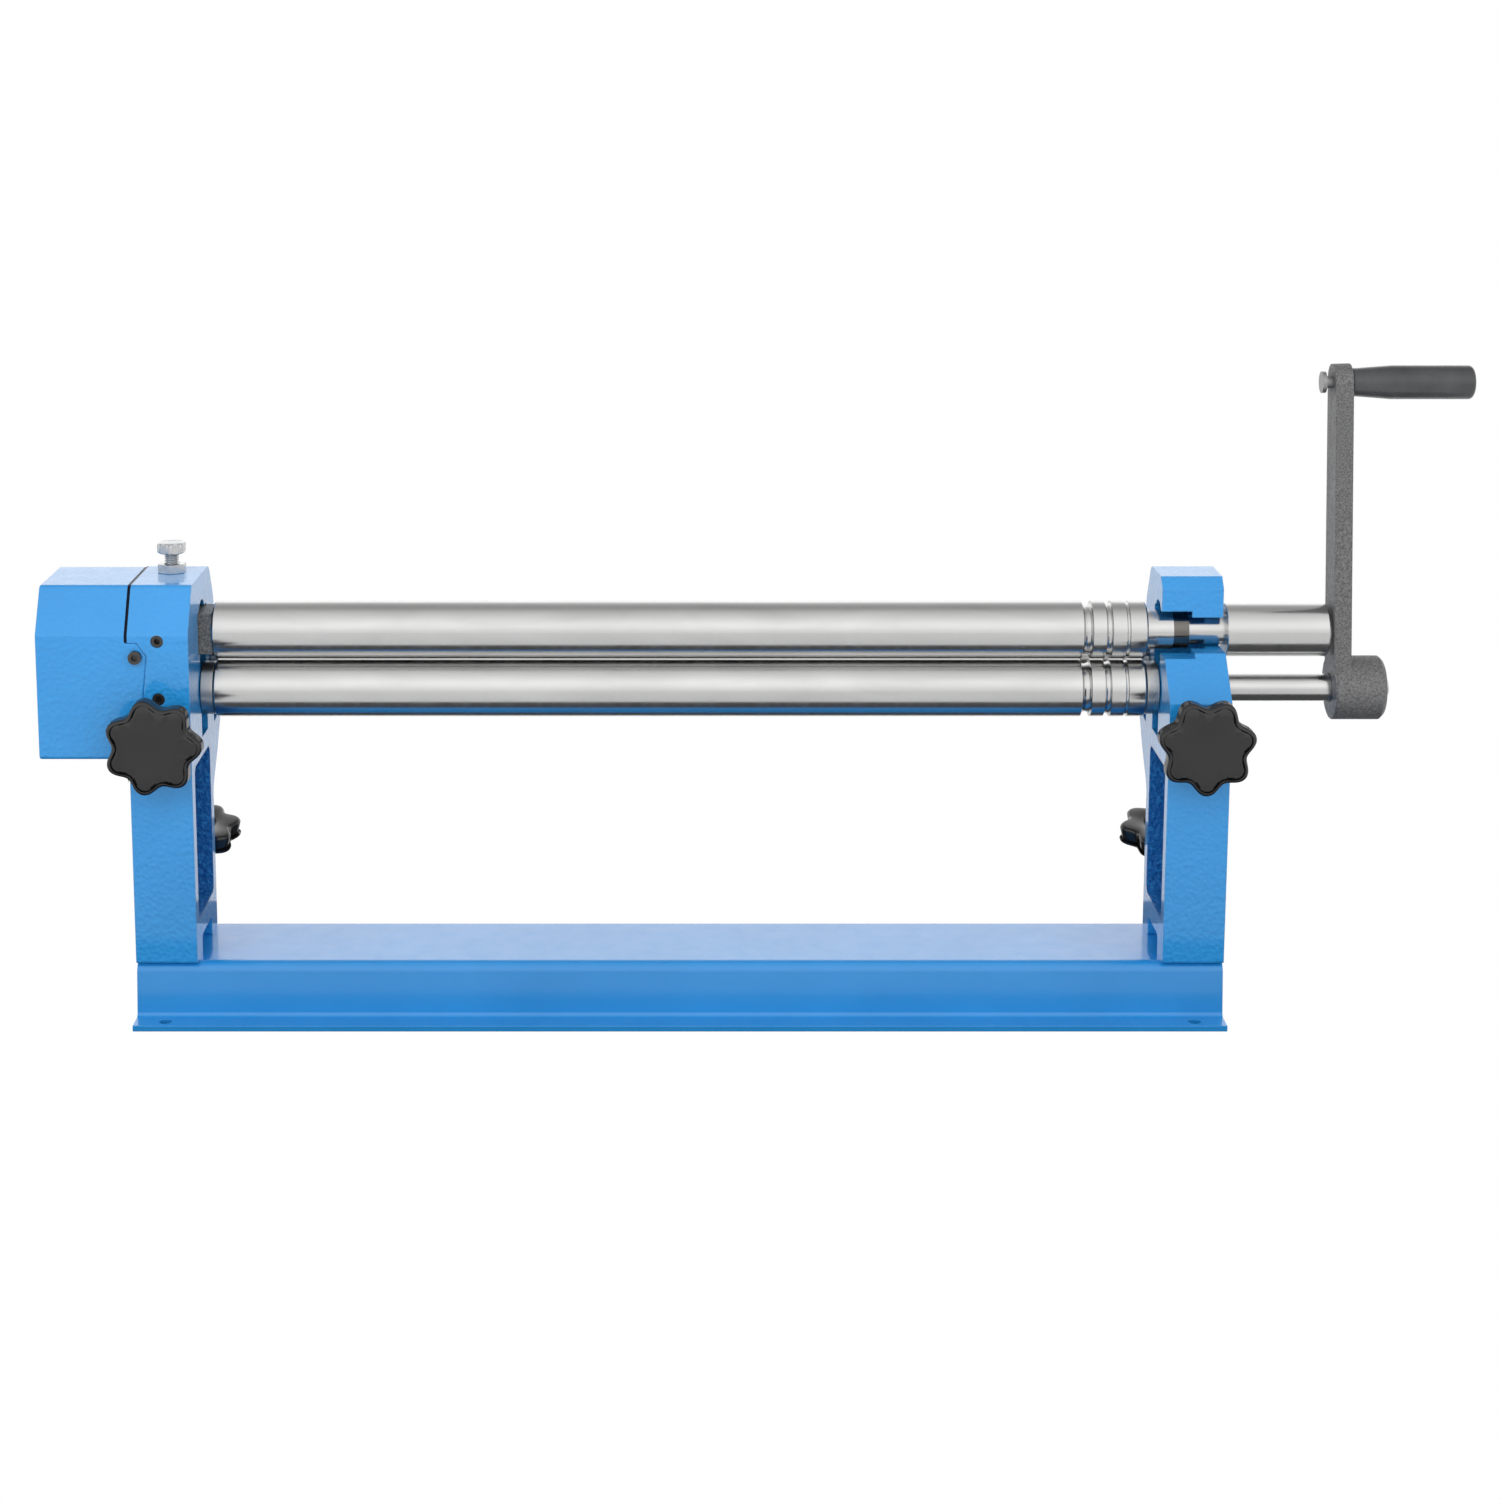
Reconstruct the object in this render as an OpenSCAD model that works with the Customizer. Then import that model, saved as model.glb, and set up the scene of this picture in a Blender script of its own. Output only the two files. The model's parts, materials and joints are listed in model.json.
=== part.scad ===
// Bench slip roll machine: three ground rolls between two cast side frames on a
// bent steel base. X runs along the rolls, Y from front to back, Z up. The origin
// is the centre of the base's bolt holes, on the underside.

/* [Rolls] */
// Diameter of each forming roll
roll_d = 38; // [30:1:40]
// Working length of each roll
roll_face = 610; // [300:10:900]
// Gap between the two pinch rolls
pinch_gap = 1; // [0.8:0.1:2]
// Height of the upper roll's axis above the bench
upper_z = 250; // [250:1:254]
// Distance of the pinch rolls' axes behind the front of the frames
roll_depth = 52; // [50:1:54]
// Diameter of the shaft ends that run in the bearing blocks
shaft_d = 18; // [16:0.5:18]
// Diameter of the shaft ends that carry the gears
gear_seat_d = 14; // [12:0.5:15]
// Diameter of the upper roll's right journal
journal_d = 26; // [22:1:28]
// Diameter of the dark band beside that journal
band_d = 24.6; // [21:0.2:26]
// Diameter of the upper roll's neck in the open slot
neck_d = 20; // [16:1:22]
// Diameter of the upper roll's end outside the right frame
handle_d = 35; // [26:1:35]
// Length of that end
handle_len = 67; // [30:1:70]
// Width of the three wire grooves, from the widest
groove_w = [6.4, 4.3, 2.4];
// Place of the three wire grooves, from the roll's right end
groove_from_end = [38.8, 24.9, 12.6];

/* [Base] */
// How far the base reaches past each frame
base_over = 0; // [0:1:26]
// Width of the base's top plate
base_w = 82; // [80:1:90]
// Height of the base
base_h = 39; // [36:1:42]
// Thickness of the base's steel sheet
sheet_t = 4; // [3:0.5:5]
// How far each base wall leans outwards at its foot
wall_lean = 4; // [2:0.5:7]
// Width of each foot flange
flange_w = 17; // [16:1:24]
// Inside radius of the bends
bend_r = 3; // [2:0.5:4]
// Diameter of the bench bolt holes
bench_hole_d = 8; // [6:0.5:9]
// Distance of the bench bolt holes from the flange's outer edge
bench_hole_in = 8; // [7:0.5:9]

/* [Side frames] */
// Thickness of each side frame
frame_t = 40; // [38:1:44]
// Space between a roll's end and the frame
side_gap = 9; // [8:0.5:12]
// Top of the frames above the bench
frame_top = 287; // [286:1:296]
// How far the leg's back stands inside the base's top plate
leg_inset = 7; // [6:0.5:8]
// How far the leg stands in front of the base's top plate
leg_proud = 2; // [0:0.5:3]
// Thickness of the web behind the frame's pockets
web_t = 10; // [8:0.5:12]
// Height at which the front starts to slope back
crease_z = 258; // [258:1:262]
// How far the top's front edge lies behind the front
top_setback = 18; // [10:1:22]
// Width of the frame's flat top, front to back
top_w = 65; // [60:1:68]
// How far the bulge round the rear slide stands behind the leg
bulge_out = 20; // [18:1:22]
// Depth of the bulge's corner below the front slot's floor
bulge_drop = 24; // [22:1:26]
// Depth at which the bulge runs into the leg
bulge_foot = 44; // [42:1:50]
// Height of the arch between the feet
arch_h = 13; // [8:1:16]
// Length of each foot, front to back
foot_w = 20; // [18:0.5:22]
// Thickness of the leg's walls around its window pocket
leg_wall = 10; // [8:0.5:12]
// Height of the window pocket
window_h = 101.5; // [80:0.5:104]
// Height of the window pocket's foot above the base
window_up = 27.5; // [20:0.5:28]

/* [Pinch adjustment] */
// Width of the slot that guides each lower bearing block
slot_w = 22; // [21:0.5:24]
// Height of the front adjusting screws
front_screw_z = 191; // [190:0.5:191]
// Depth of the slot's floor below those screws
slot_floor_drop = 11; // [9:0.5:12]
// Diameter of the adjusting screws
screw_d = 10; // [8:0.5:10]
// Diameter of the screws' plain tips
tip_d = 8; // [6:0.5:8]
// Length of the wedge from front to back
wedge_len = 14; // [12:0.5:14]
// Width of the wedge along the rolls
wedge_w = 16; // [12:1:18]
// Fall of the wedge's top for each millimetre towards the back
wedge_slope = 0.3333; // [0.2:0.01:0.36]
// Furthest that the wedges move forwards
wedge_out = 6; // [2:0.5:6]

/* [Rear roll] */
// Distance of the rear roll's axis behind the pinch rolls' axes
rear_offset = 39.5; // [39.5:0.1:40.5]
// Height of the rear roll's axis above the bench
rear_z = 213; // [212:0.5:214]
// Tilt of the rear roll's slide from the vertical
rear_tilt = 10; // [9:0.5:10.5]
// Diameter of the rear roll's shaft ends
rear_shaft_d = 14; // [10:0.5:15]
// Width of the slot that guides each rear bearing block
rear_slot_w = 20; // [20:0.5:21]
// How far the rear roll moves down from its rest place
rear_down = 15; // [5:1:15]
// How far the rear roll moves up from its rest place
rear_up = 20; // [10:1:20]
// Height of a rear bearing block above and below its bore
rear_block_half = 17; // [16:0.5:17]
// Diameter of the rear adjusting screws
rear_screw_d = 12; // [10:0.5:12]
// Thickness of the frame behind the rear slot
rear_wall = 4.2; // [4:0.1:7]

/* [Bearing blocks] */
// Diameter of the round flange on each block
block_flange_d = 35; // [30:1:36]
// Thickness of that flange
block_flange_t = 8; // [6:0.5:8.5]
// Height of the upper roll's swinging block
trunnion_h = 27; // [24:0.5:27]
// Swing of the upper roll when it is let out, in degrees
swing = 4.5; // [2:0.5:4.5]
// Distance of the swing axis behind the upper roll's axis
pivot_back = 8; // [7:0.5:8.5]

/* [Right frame mouth] */
// Height at which the lower jaw's front starts to slope back
jaw_z = 213; // [205:1:216]
// Distance of the mouth's back wall behind the pinch rolls' axes
mouth_back = 13.5; // [13.5:0.5:15]
// Distance of the upper jaw's front before the pinch rolls' axes
upper_jaw_front = 13; // [10:1:16]
// Thickness of the mouth's inner, wider half
mouth_step = 20; // [19.5:0.5:22]
// Size of the bevel on the upper jaw's top front edge
jaw_bevel = 7; // [4:0.5:10]

/* [Gear cover] */
// Length of the gear cover along the rolls
cover_len = 58; // [24:1:70]
// Wall of the gear cover
cover_t = 4; // [3:0.5:5]
// Height of the cover's foot above the bench
cover_bottom = 176; // [170:1:184]
// Depth of the cover from front to back
cover_depth = 83; // [82:1:86]
// How far the cover's front tab laps over the frame
tab_w = 13; // [12:0.5:14]
// Thickness of that tab
tab_t = 4; // [3:0.5:5]
// Length of the tab's slanted edge
tab_taper = 30; // [24:1:40]
// Height of the cover's screw
cover_screw_z = 244; // [240:1:246]

/* [Gears] */
// Number of teeth on each gear
teeth = 10; // [8:1:11]
// Width of each gear
gear_w = 8; // [6:0.5:9]
// Height of the teeth above the pitch circle
addendum = 2.6; // [2:0.1:2.8]
// Depth of the teeth below the pitch circle
dedendum = 4.4; // [4:0.1:4.6]
// Half width of a tooth at its root
tooth_root_half = 1.9; // [1.6:0.1:2]
// Half width of a tooth at its tip
tooth_tip_half = 0.8; // [0.6:0.1:0.9]
// Side of the square keys
key_w = 4; // [3:0.5:4]

/* [Knobs] */
// Diameter of a knob over its lobes
knob_d = 63; // [50:1:63]
// Number of lobes on a knob
lobes = 7; // [5:1:9]
// Depth of the hollows between the lobes
lobe_depth = 6.2; // [3:0.1:8]
// Thickness of a knob
knob_t = 13; // [10:0.5:15]
// Distance from the frame's front to the back of a front knob
knob_stand = 15; // [12:0.5:20]
// Distance from the rear roll's axis down to the rear knobs
rear_knob_drop = 115; // [112:1:120]

/* [Crank] */
// Distance from the crank's boss to the grip
crank_r = 203; // [150:1:260]
// Distance from the upper roll's end to the crank's boss
boss_gap = 5; // [4:0.5:10]
// Diameter of the crank's boss
boss_d = 42; // [36:1:46]
// Length of the crank's boss
boss_len = 33; // [26:1:36]
// Bevel on the boss's outer edge
boss_bevel = 2.5; // [0.5:0.5:4]
// Thickness of the crank's arm
arm_t = 11.5; // [8:0.5:12]
// Width of the arm at the boss
arm_w = 27; // [22:1:30]
// Width of the arm at the grip
arm_top_w = 24; // [20:1:26]
// How far the arm leans inwards at the grip
arm_lean = 6; // [0:0.5:6]
// Diameter of the grip
grip_d = 22; // [18:0.5:28]
// Diameter of the grip's thin end
grip_neck_d = 18.4; // [15:0.2:20]
// Length of the grip
grip_len = 79; // [70:1:110]
// Diameter of the spindle inside the grip
spindle_d = 8; // [6:0.5:10]

/* [Fasteners] */
// Thread diameter of the frame bolts
frame_bolt_d = 6; // [5:0.5:6]
// Distance of the frame bolts from the leg's front and back faces
frame_bolt_in = 14.5; // [14.5:0.5:15]
// Diameter of the washers under their heads
washer_d = 12; // [10:0.5:12]
// Depth of the frame bolts in the feet
frame_bolt_grip = 18; // [12:1:20]
// Thread diameter of the swing bolt
swing_bolt_d = 10; // [8:0.5:12]
// Diameter of the set screws
set_screw_d = 8; // [5:0.5:8]
// Height of the two set screws
set_screw_z = [254, 216];

// Diameter of the washer on the crank's end
crank_washer_d = 20; // [18:1:26]
// Thickness of that washer
crank_washer_t = 1.6; // [1:0.2:2.4]
// Thread diameter of the screw that holds the crank
crank_screw_d = 8; // [6:0.5:8]
// Diameter of its low head
crank_head_d = 13; // [12:0.5:15]
// Height of its low head
crank_head_h = 2.6; // [2:0.2:4]

/* [Fits] */
// Radial clearance of a running or threaded fit
run_fit = 0.05; // [0.02:0.01:0.1]
// Clearance of a sliding block on each side
slide_fit = 0.1; // [0.05:0.01:0.15]
// Clearance between pieces that stand beside each other
side_fit = 0.5; // [0.3:0.1:0.6]

/* [Hidden] */
$fn = 64;
cut = 1;

roll_r = roll_d / 2;
roll_end = roll_face / 2;
frame_in = roll_end + side_gap;
frame_out = frame_in + frame_t;
base_len = 2 * (frame_out + base_over);
frame_mid = (frame_in + frame_out) / 2;
pocket_end = frame_out - web_t;

leg_front = -base_w / 2 - leg_proud;
leg_back = base_w / 2 - leg_inset;
roll_y = leg_front + roll_depth;
lower_z = upper_z - roll_d - pinch_gap;
pivot_y = roll_y + pivot_back;
rear_y = roll_y + rear_offset;

foot_edge = base_w / 2 + wall_lean + flange_w;
bench_x = frame_mid;
bench_y = foot_edge - bench_hole_in;

slot_floor = front_screw_z - slot_floor_drop;
slot_top = upper_z + 20;
block_half = slot_w / 2 - slide_fit;
lower_travel = wedge_out * wedge_slope;
wedge_back = roll_y + 9.3;
wedge_front = wedge_back - wedge_len;
wedge_top = front_screw_z + tip_d / 2 + 5;
wedge_bevel = 1.2;
tip_len = 8;

rear_slot_half = rear_slot_w / 2;
rear_slot_low = rear_down + rear_block_half + 2;
rear_slot_high = rear_up + rear_block_half + 3;
rear_outside = rear_slot_half + rear_wall;
rear_bore_len = 40;

trunnion_x = [frame_out - 4, roll_end + side_fit];
trunnion_front = roll_y - 13;
trunnion_back = pivot_y + 8.5;
trunnion_room = frame_t / 2 * sin(swing);

gear_x = frame_out + 2.5;
seat_len = gear_w + 5.5;
pitch_r = (roll_d + pinch_gap) / 2;
gear_tip_r = pitch_r + addendum;
gear_root_r = pitch_r - dedendum;
ring_t = 1;

neck_end = frame_out + 3;
handle_end = neck_end + handle_len;
boss_x = handle_end + boss_gap;
boss_end = boss_x + boss_len;
crank_seat_d = shaft_d - 2;
grip_x = boss_x + 5;
grip_z = lower_z + crank_r;
grip_end = grip_x + grip_len;

bolt_y = [leg_front + frame_bolt_in, leg_back - frame_bolt_in];
washer_t = 1.6;

// Outline helpers. A point is [x, y, corner radius].
function unit(v) = v / norm(v);
function wrap(a) = a > 180 ? a - 360 : a < -180 ? a + 360 : a;
function flat(p) = [p.x, p.y];

function corner(before, p, after, n) =
  p[2] <= 0 ? [flat(p)] :
  let (
    u = unit(flat(before) - flat(p)),
    v = unit(flat(after) - flat(p)),
    half = acos(u * v) / 2,
    centre = flat(p) + unit(u + v) * p[2] / sin(half),
    from = flat(p) + u * p[2] / tan(half) - centre,
    to = flat(p) + v * p[2] / tan(half) - centre,
    a = atan2(from.y, from.x),
    turn = wrap(atan2(to.y, to.x) - a)
  )
  [for (i = [0 : n]) centre + p[2] * [cos(a + turn * i / n), sin(a + turn * i / n)]];

function rounded(points, n = 6) =
  let (count = len(points))
  [for (i = [0 : count - 1])
    each corner(points[(i + count - 1) % count], points[i], points[(i + 1) % count], n)];

// A point t along the rear roll's slide and off to its back
function rear_point(t, off, r = 0) = [
  rear_y - t * sin(rear_tilt) + off * cos(rear_tilt),
  rear_z + t * cos(rear_tilt) + off * sin(rear_tilt),
  r
];

// Points [x, radius] of a turned piece, closed on its axis
function turned(points) = concat(
  [[0, points[0].x]],
  [for (p = points) [p.y, p.x]],
  [[0, points[len(points) - 1].x]]
);

// Round-bottomed groove in a roll, as [x, radius] points
function groove(x, w, r) =
  [for (a = [0 : 20 : 180]) [x - w / 2 * cos(a), r - w / 2 * sin(a)]];

// Extrudes a [y, z] outline along X
module along_x(from, to) {
  translate([from, 0, 0]) rotate([90, 0, 90]) linear_extrude(to - from) children();
}

// Extrudes an [x, z] outline along Y
module along_y(from, to) {
  translate([0, to, 0]) rotate([90, 0, 0]) linear_extrude(to - from) children();
}

// Turns [radius, x] points about an axis along X
module turn_x(y, z) {
  translate([0, y, z]) rotate([0, 90, 0]) rotate_extrude($fn = 96) children();
}

module rod_x(from, to, y, z, d) {
  translate([from, y, z]) rotate([0, 90, 0]) cylinder(h = to - from, d = d);
}

module rod_y(x, from, to, z, d) {
  translate([x, from, z]) rotate([-90, 0, 0]) cylinder(h = to - from, d = d);
}

module rod_z(x, y, from, to, d) {
  translate([x, y, from]) cylinder(h = to - from, d = d);
}

// Moves a piece drawn up from the rear roll's axis onto the tilted slide
module on_rear_slide(t = 0) {
  translate([0, rear_y, rear_z]) rotate([rear_tilt, 0, 0]) translate([0, 0, t]) children();
}

module on_left() {
  mirror([1, 0, 0]) children();
}

module hexagon(af) {
  circle(d = af / cos(30), $fn = 6);
}

// Base
function base_outline() = let (
    top = base_w / 2,
    foot = top + wall_lean,
    outer = bend_r + sheet_t
  ) [
    [-foot_edge, 0, 0.5], [-foot_edge, sheet_t, 0.5],
    [-foot, sheet_t, bend_r], [-top, base_h, outer],
    [top, base_h, outer], [foot, sheet_t, bend_r],
    [foot_edge, sheet_t, 0.5], [foot_edge, 0, 0.5],
    [foot - sheet_t, 0, outer], [top - sheet_t, base_h - sheet_t, bend_r],
    [sheet_t - top, base_h - sheet_t, bend_r], [sheet_t - foot, 0, outer]
  ];

module base_channel() {
  color("dodgerblue") difference() {
    along_x(-base_len / 2, base_len / 2) polygon(rounded(base_outline()));
    for (x = [-bench_x, bench_x]) {
      for (y = [-bench_y, bench_y]) rod_z(x, y, -cut, sheet_t + cut, bench_hole_d);
      for (y = bolt_y) rod_z(x, y, base_h / 2, base_h + cut, frame_bolt_d + 1);
    }
  }
}

// Side frames
function frame_outline() = let (
    arch_z = base_h + arch_h,
    arch_front = leg_front + foot_w,
    arch_back = leg_back - foot_w
  ) [
    [leg_front, base_h, 2], [leg_front, crease_z, 5],
    [leg_front + top_setback, frame_top, 4],
    [leg_front + top_setback + top_w, frame_top, 10],
    rear_point(rear_slot_high + 8, rear_outside, 16),
    rear_point(-rear_slot_low - 6, rear_outside, 14),
    [leg_back + bulge_out, slot_floor - bulge_drop, 12],
    [leg_back, slot_floor - bulge_foot, 16],
    [leg_back, base_h, 2], [arch_back, base_h, 1], [arch_back, arch_z, 5],
    [arch_front, arch_z, 5], [arch_front, base_h, 1]
  ];

function window_outline() = let (
    low = base_h + window_up,
    front = leg_front + leg_wall,
    back = leg_back - leg_wall,
    high = low + window_h
  ) [[front, low, 6], [front, high, 6], [back, high, 6], [back, low, 6]];

// Slot of the lower bearing block, with a rounded top
module front_slot() {
  along_x(frame_in - cut, pocket_end) polygon(rounded([
    [roll_y - slot_w / 2, slot_floor, 1], [roll_y - slot_w / 2, slot_top, slot_w / 2 - 0.5],
    [roll_y + slot_w / 2, slot_top, slot_w / 2 - 0.5], [roll_y + slot_w / 2, slot_floor, 1]
  ]));
}

// Slot through the web for the lower roll's shaft
module shaft_slot() {
  width = shaft_d + 1.2;
  low = lower_z - lower_travel - 0.5;
  high = lower_z + 1;
  for (z = [low, high]) rod_x(pocket_end - cut, frame_out + cut, roll_y, z, width);
  translate([pocket_end - cut, roll_y - width / 2, low])
    cube([web_t + 2 * cut, width, high - low]);
}

module rear_slot() {
  on_rear_slide() along_x(frame_in - cut, pocket_end) polygon(rounded([
    [-rear_slot_half, -rear_slot_low, 1], [-rear_slot_half, rear_slot_high, 2],
    [rear_slot_half, rear_slot_high, 2], [rear_slot_half, -rear_slot_low, 1]
  ]));
}

// What both side frames share, drawn for the right-hand one
module frame_casting() {
  difference() {
    along_x(frame_in, frame_out) polygon(rounded(frame_outline(), 8));
    along_x(frame_in - cut, pocket_end) polygon(rounded(window_outline()));
    front_slot();
    shaft_slot();
    rear_slot();
    rod_y(frame_mid, leg_front - cut, roll_y, front_screw_z, screw_d + 2 * run_fit);
    on_rear_slide() rod_z(frame_mid, 0, -rear_slot_low - rear_bore_len, -rear_slot_low + cut,
      rear_screw_d + 2 * run_fit);
    for (y = bolt_y) rod_z(frame_mid, y, base_h - cut, base_h + frame_bolt_grip + 2,
      frame_bolt_d + 2 * run_fit);
  }
}

// Shape cut from the right frame's front, between its two jaws
function mouth_outline(floor_z, roof_z) = let (
    front = leg_front - 20,
    jaw = roll_y - upper_jaw_front
  ) [
    [front, jaw_z - 20, 0], [leg_front + floor_z - jaw_z, floor_z, 0],
    [roll_y + mouth_back, floor_z, 2], [roll_y + mouth_back, roof_z, 2],
    [jaw, roof_z, 0], [jaw, frame_top - jaw_bevel, 0],
    [jaw + 2 * jaw_bevel, frame_top + jaw_bevel, 0], [front, frame_top + jaw_bevel, 0]
  ];

module right_frame() {
  step_x = frame_in + mouth_step;
  color("dodgerblue") difference() {
    frame_casting();
    along_x(frame_in - cut, step_x)
      polygon(rounded(mouth_outline(upper_z - journal_d / 2 - slide_fit, upper_z + 15)));
    along_x(step_x - cut, frame_out + cut)
      polygon(rounded(mouth_outline(upper_z - neck_d / 2 - slide_fit, upper_z + 11)));
  }
}

// Room for the swinging block, right through the left frame
module trunnion_opening() {
  front = trunnion_front - trunnion_room - 0.6;
  back = trunnion_back + trunnion_room + 0.2;
  low = upper_z - trunnion_h / 2 - 0.3;
  along_x(frame_in - cut, frame_out + cut) polygon(rounded([
    [front, low, 1], [front, low + trunnion_h + 1.2, 2],
    [back, low + trunnion_h + 1.2, 2], [back, low, 1]
  ]));
}

// Outline of the cover's front tab, as [x, z] on the mirrored right side
function tab_outline(grow) = [
  [frame_out + cut, cover_bottom - grow], [frame_out - 8 - grow, cover_bottom - grow],
  [frame_out - tab_w + 3 - grow, cover_screw_z - tab_taper],
  [frame_out - tab_w - grow, cover_screw_z], [frame_out - 7 - grow, cover_screw_z + 9 + grow],
  [frame_out + cut, cover_screw_z + 9 + grow]
];

module cover_screw_hole(y_from, y_to, d) {
  rod_y(frame_out - 6, y_from, y_to, cover_screw_z, d);
}

module left_frame() {
  color("dodgerblue") on_left() difference() {
    frame_casting();
    trunnion_opening();
    along_y(leg_front - cut, leg_front + tab_t) polygon(tab_outline(slide_fit));
    cover_screw_hole(leg_front, leg_front + 18, 5 + 2 * run_fit);
    for (z = set_screw_z)
      rod_y(frame_mid, leg_front - cut, roll_y, z, set_screw_d + 2 * run_fit);
    rod_z(frame_mid, pivot_y, slot_top - 8, frame_top + cut, swing_bolt_d + 2 * run_fit);
  }
}

// Gear cover, an open box against the left frame
function cover_outline(inset) = let (
    front = leg_front + inset,
    back = leg_front + cover_depth - inset
  ) [
    [front, cover_bottom + inset, 3], [front, crease_z - inset / 4, 4],
    [leg_front + top_setback + inset * 0.7, frame_top - inset, 4],
    [back, frame_top - inset, 8], [back, cover_bottom + inset, 3]
  ];

module gear_cover() {
  end_x = frame_out + cover_len;
  color("dodgerblue") on_left() difference() {
    union() {
      along_x(frame_out, end_x) polygon(rounded(cover_outline(0)));
      along_y(leg_front, leg_front + tab_t) polygon(tab_outline(0));
    }
    along_x(frame_out - cut, end_x - cover_t) intersection() {
      polygon(rounded(cover_outline(cover_t)));
      translate([leg_front + tab_t, 0]) square([cover_depth, frame_top]);
    }
    cover_screw_hole(leg_front - cut, leg_front + tab_t + cut, 5.5);
  }
}

module cover_screw() {
  head = 3.5;
  socket_af = 4;
  color("dimgray") on_left() difference() {
    union() {
      cover_screw_hole(leg_front - head, leg_front, 8.5);
      cover_screw_hole(leg_front - cut, leg_front + 16, 5);
    }
    translate([frame_out - 6, leg_front - head - cut, cover_screw_z]) rotate([-90, 0, 0])
      linear_extrude(head) hexagon(socket_af);
  }
}

module set_screws() {
  tips = [trunnion_front - 0.6, roll_y - slot_w / 2 - 0.3];
  color("dimgray") on_left() for (i = [0 : 1]) difference() {
    rod_y(frame_mid, leg_front + 1, tips[i], set_screw_z[i], set_screw_d);
    translate([frame_mid, leg_front, set_screw_z[i]]) rotate([-90, 0, 0])
      linear_extrude(6) hexagon(4);
  }
}

// A hexagon bolt that points up from z, with its head below
module hex_bolt(x, y, z, d, len, af, head) {
  color("silver") translate([x, y, z]) {
    cylinder(h = len, d = d);
    translate([0, 0, -head]) linear_extrude(head) hexagon(af);
  }
}

module frame_bolts() {
  under = base_h - sheet_t - washer_t;
  for (x = [-frame_mid, frame_mid]) for (y = bolt_y)
    hex_bolt(x, y, under, frame_bolt_d, base_h + frame_bolt_grip - under,
      frame_bolt_d * 5 / 3, frame_bolt_d * 2 / 3);
}

module frame_washers() {
  color("silver") for (x = [-frame_mid, frame_mid]) for (y = bolt_y) difference() {
    rod_z(x, y, base_h - sheet_t - washer_t, base_h - sheet_t, washer_d);
    rod_z(x, y, 0, base_h, frame_bolt_d + 0.4);
  }
}

// The bolt that the upper roll's block swings on, with a plain dog point
module swing_bolt() {
  block_top = upper_z + trunnion_h / 2;
  color("gainsboro") on_left() {
    rod_z(frame_mid, pivot_y, block_top + 0.5, frame_top + 14, swing_bolt_d);
    rod_z(frame_mid, pivot_y, block_top - 4, block_top + 1, tip_d - 1);
    translate([frame_mid, pivot_y, frame_top + 13]) rotate([0, 0, 30]) intersection() {
      linear_extrude(7) hexagon(17);
      cylinder(h = 7, r1 = 13, r2 = 8.9);
    }
  }
}

module swing_jam_nut() {
  color("gainsboro") on_left() difference() {
    translate([frame_mid, pivot_y, frame_top]) rotate([0, 0, 30]) linear_extrude(6) hexagon(17);
    rod_z(frame_mid, pivot_y, frame_top - cut, frame_top + 8, swing_bolt_d + 2 * run_fit);
  }
}

module trunnion_block() {
  low = upper_z - trunnion_h / 2;
  color("slategray") on_left() difference() {
    translate([trunnion_x[1], trunnion_front, low])
      cube([trunnion_x[0] - trunnion_x[1], trunnion_back - trunnion_front, trunnion_h]);
    rod_x(roll_end, frame_out, roll_y, upper_z, shaft_d + 2 * run_fit);
    rod_z(frame_mid, pivot_y, low + trunnion_h - 4.3, low + trunnion_h + cut,
      tip_d - 1 + 2 * run_fit);
  }
}

// Rolls
module keyed_seat(x, y, z, d, len, w) {
  translate([x, y - w / 2, z + d / 2 - w / 2]) cube([len, w, w]);
}

function left_shaft(shaft) = [
  [-gear_x - seat_len, gear_seat_d / 2 - 0.7], [-gear_x - seat_len + 0.7, gear_seat_d / 2],
  [-gear_x, gear_seat_d / 2], [-gear_x, shaft / 2], [-roll_end, shaft / 2],
  [-roll_end, roll_r - 1], [1 - roll_end, roll_r]
];

function grooved_end() = concat(
  [for (i = [0 : len(groove_w) - 1])
    each groove(roll_end - groove_from_end[i], groove_w[i], roll_r)],
  [[roll_end - 1, roll_r], [roll_end, roll_r - 1]]
);

module ring_groove(z) {
  difference() {
    rod_x(-gear_x - gear_w - 0.2 - ring_t, -gear_x - gear_w - 0.1, roll_y, z, gear_seat_d + 2);
    rod_x(-gear_x - seat_len, -gear_x, roll_y, z, gear_seat_d - 1.4);
  }
}

module gear_seat_cuts(z) {
  ring_groove(z);
  keyed_seat(-gear_x - gear_w, roll_y, z, gear_seat_d, gear_w, key_w);
}

module upper_roll() {
  color("silver") difference() {
    turn_x(roll_y, upper_z) polygon(turned(concat(left_shaft(shaft_d), grooved_end(), [
      [roll_end, journal_d / 2], [frame_in + 8.5, journal_d / 2],
      [frame_in + 8.5, band_d / 2], [frame_in + 18.5, band_d / 2],
      [frame_in + 18.5, neck_d / 2], [neck_end, neck_d / 2],
      [neck_end, handle_d / 2 - 0.5], [neck_end + 0.5, handle_d / 2],
      [handle_end - 1, handle_d / 2], [handle_end, handle_d / 2 - 1]
    ])));
    gear_seat_cuts(upper_z);
  }
}

module lower_roll() {
  color("silver") difference() {
    turn_x(roll_y, lower_z) polygon(turned(concat(left_shaft(shaft_d), grooved_end(), [
      [roll_end, shaft_d / 2], [boss_x, shaft_d / 2], [boss_x, crank_seat_d / 2],
      [boss_end - 0.5, crank_seat_d / 2]
    ])));
    gear_seat_cuts(lower_z);
    keyed_seat(boss_x + 2, roll_y, lower_z, crank_seat_d, boss_len - 6, key_w);
    rod_x(boss_end - 18, boss_end, roll_y, lower_z, crank_screw_d + 2 * run_fit);
  }
}

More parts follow.
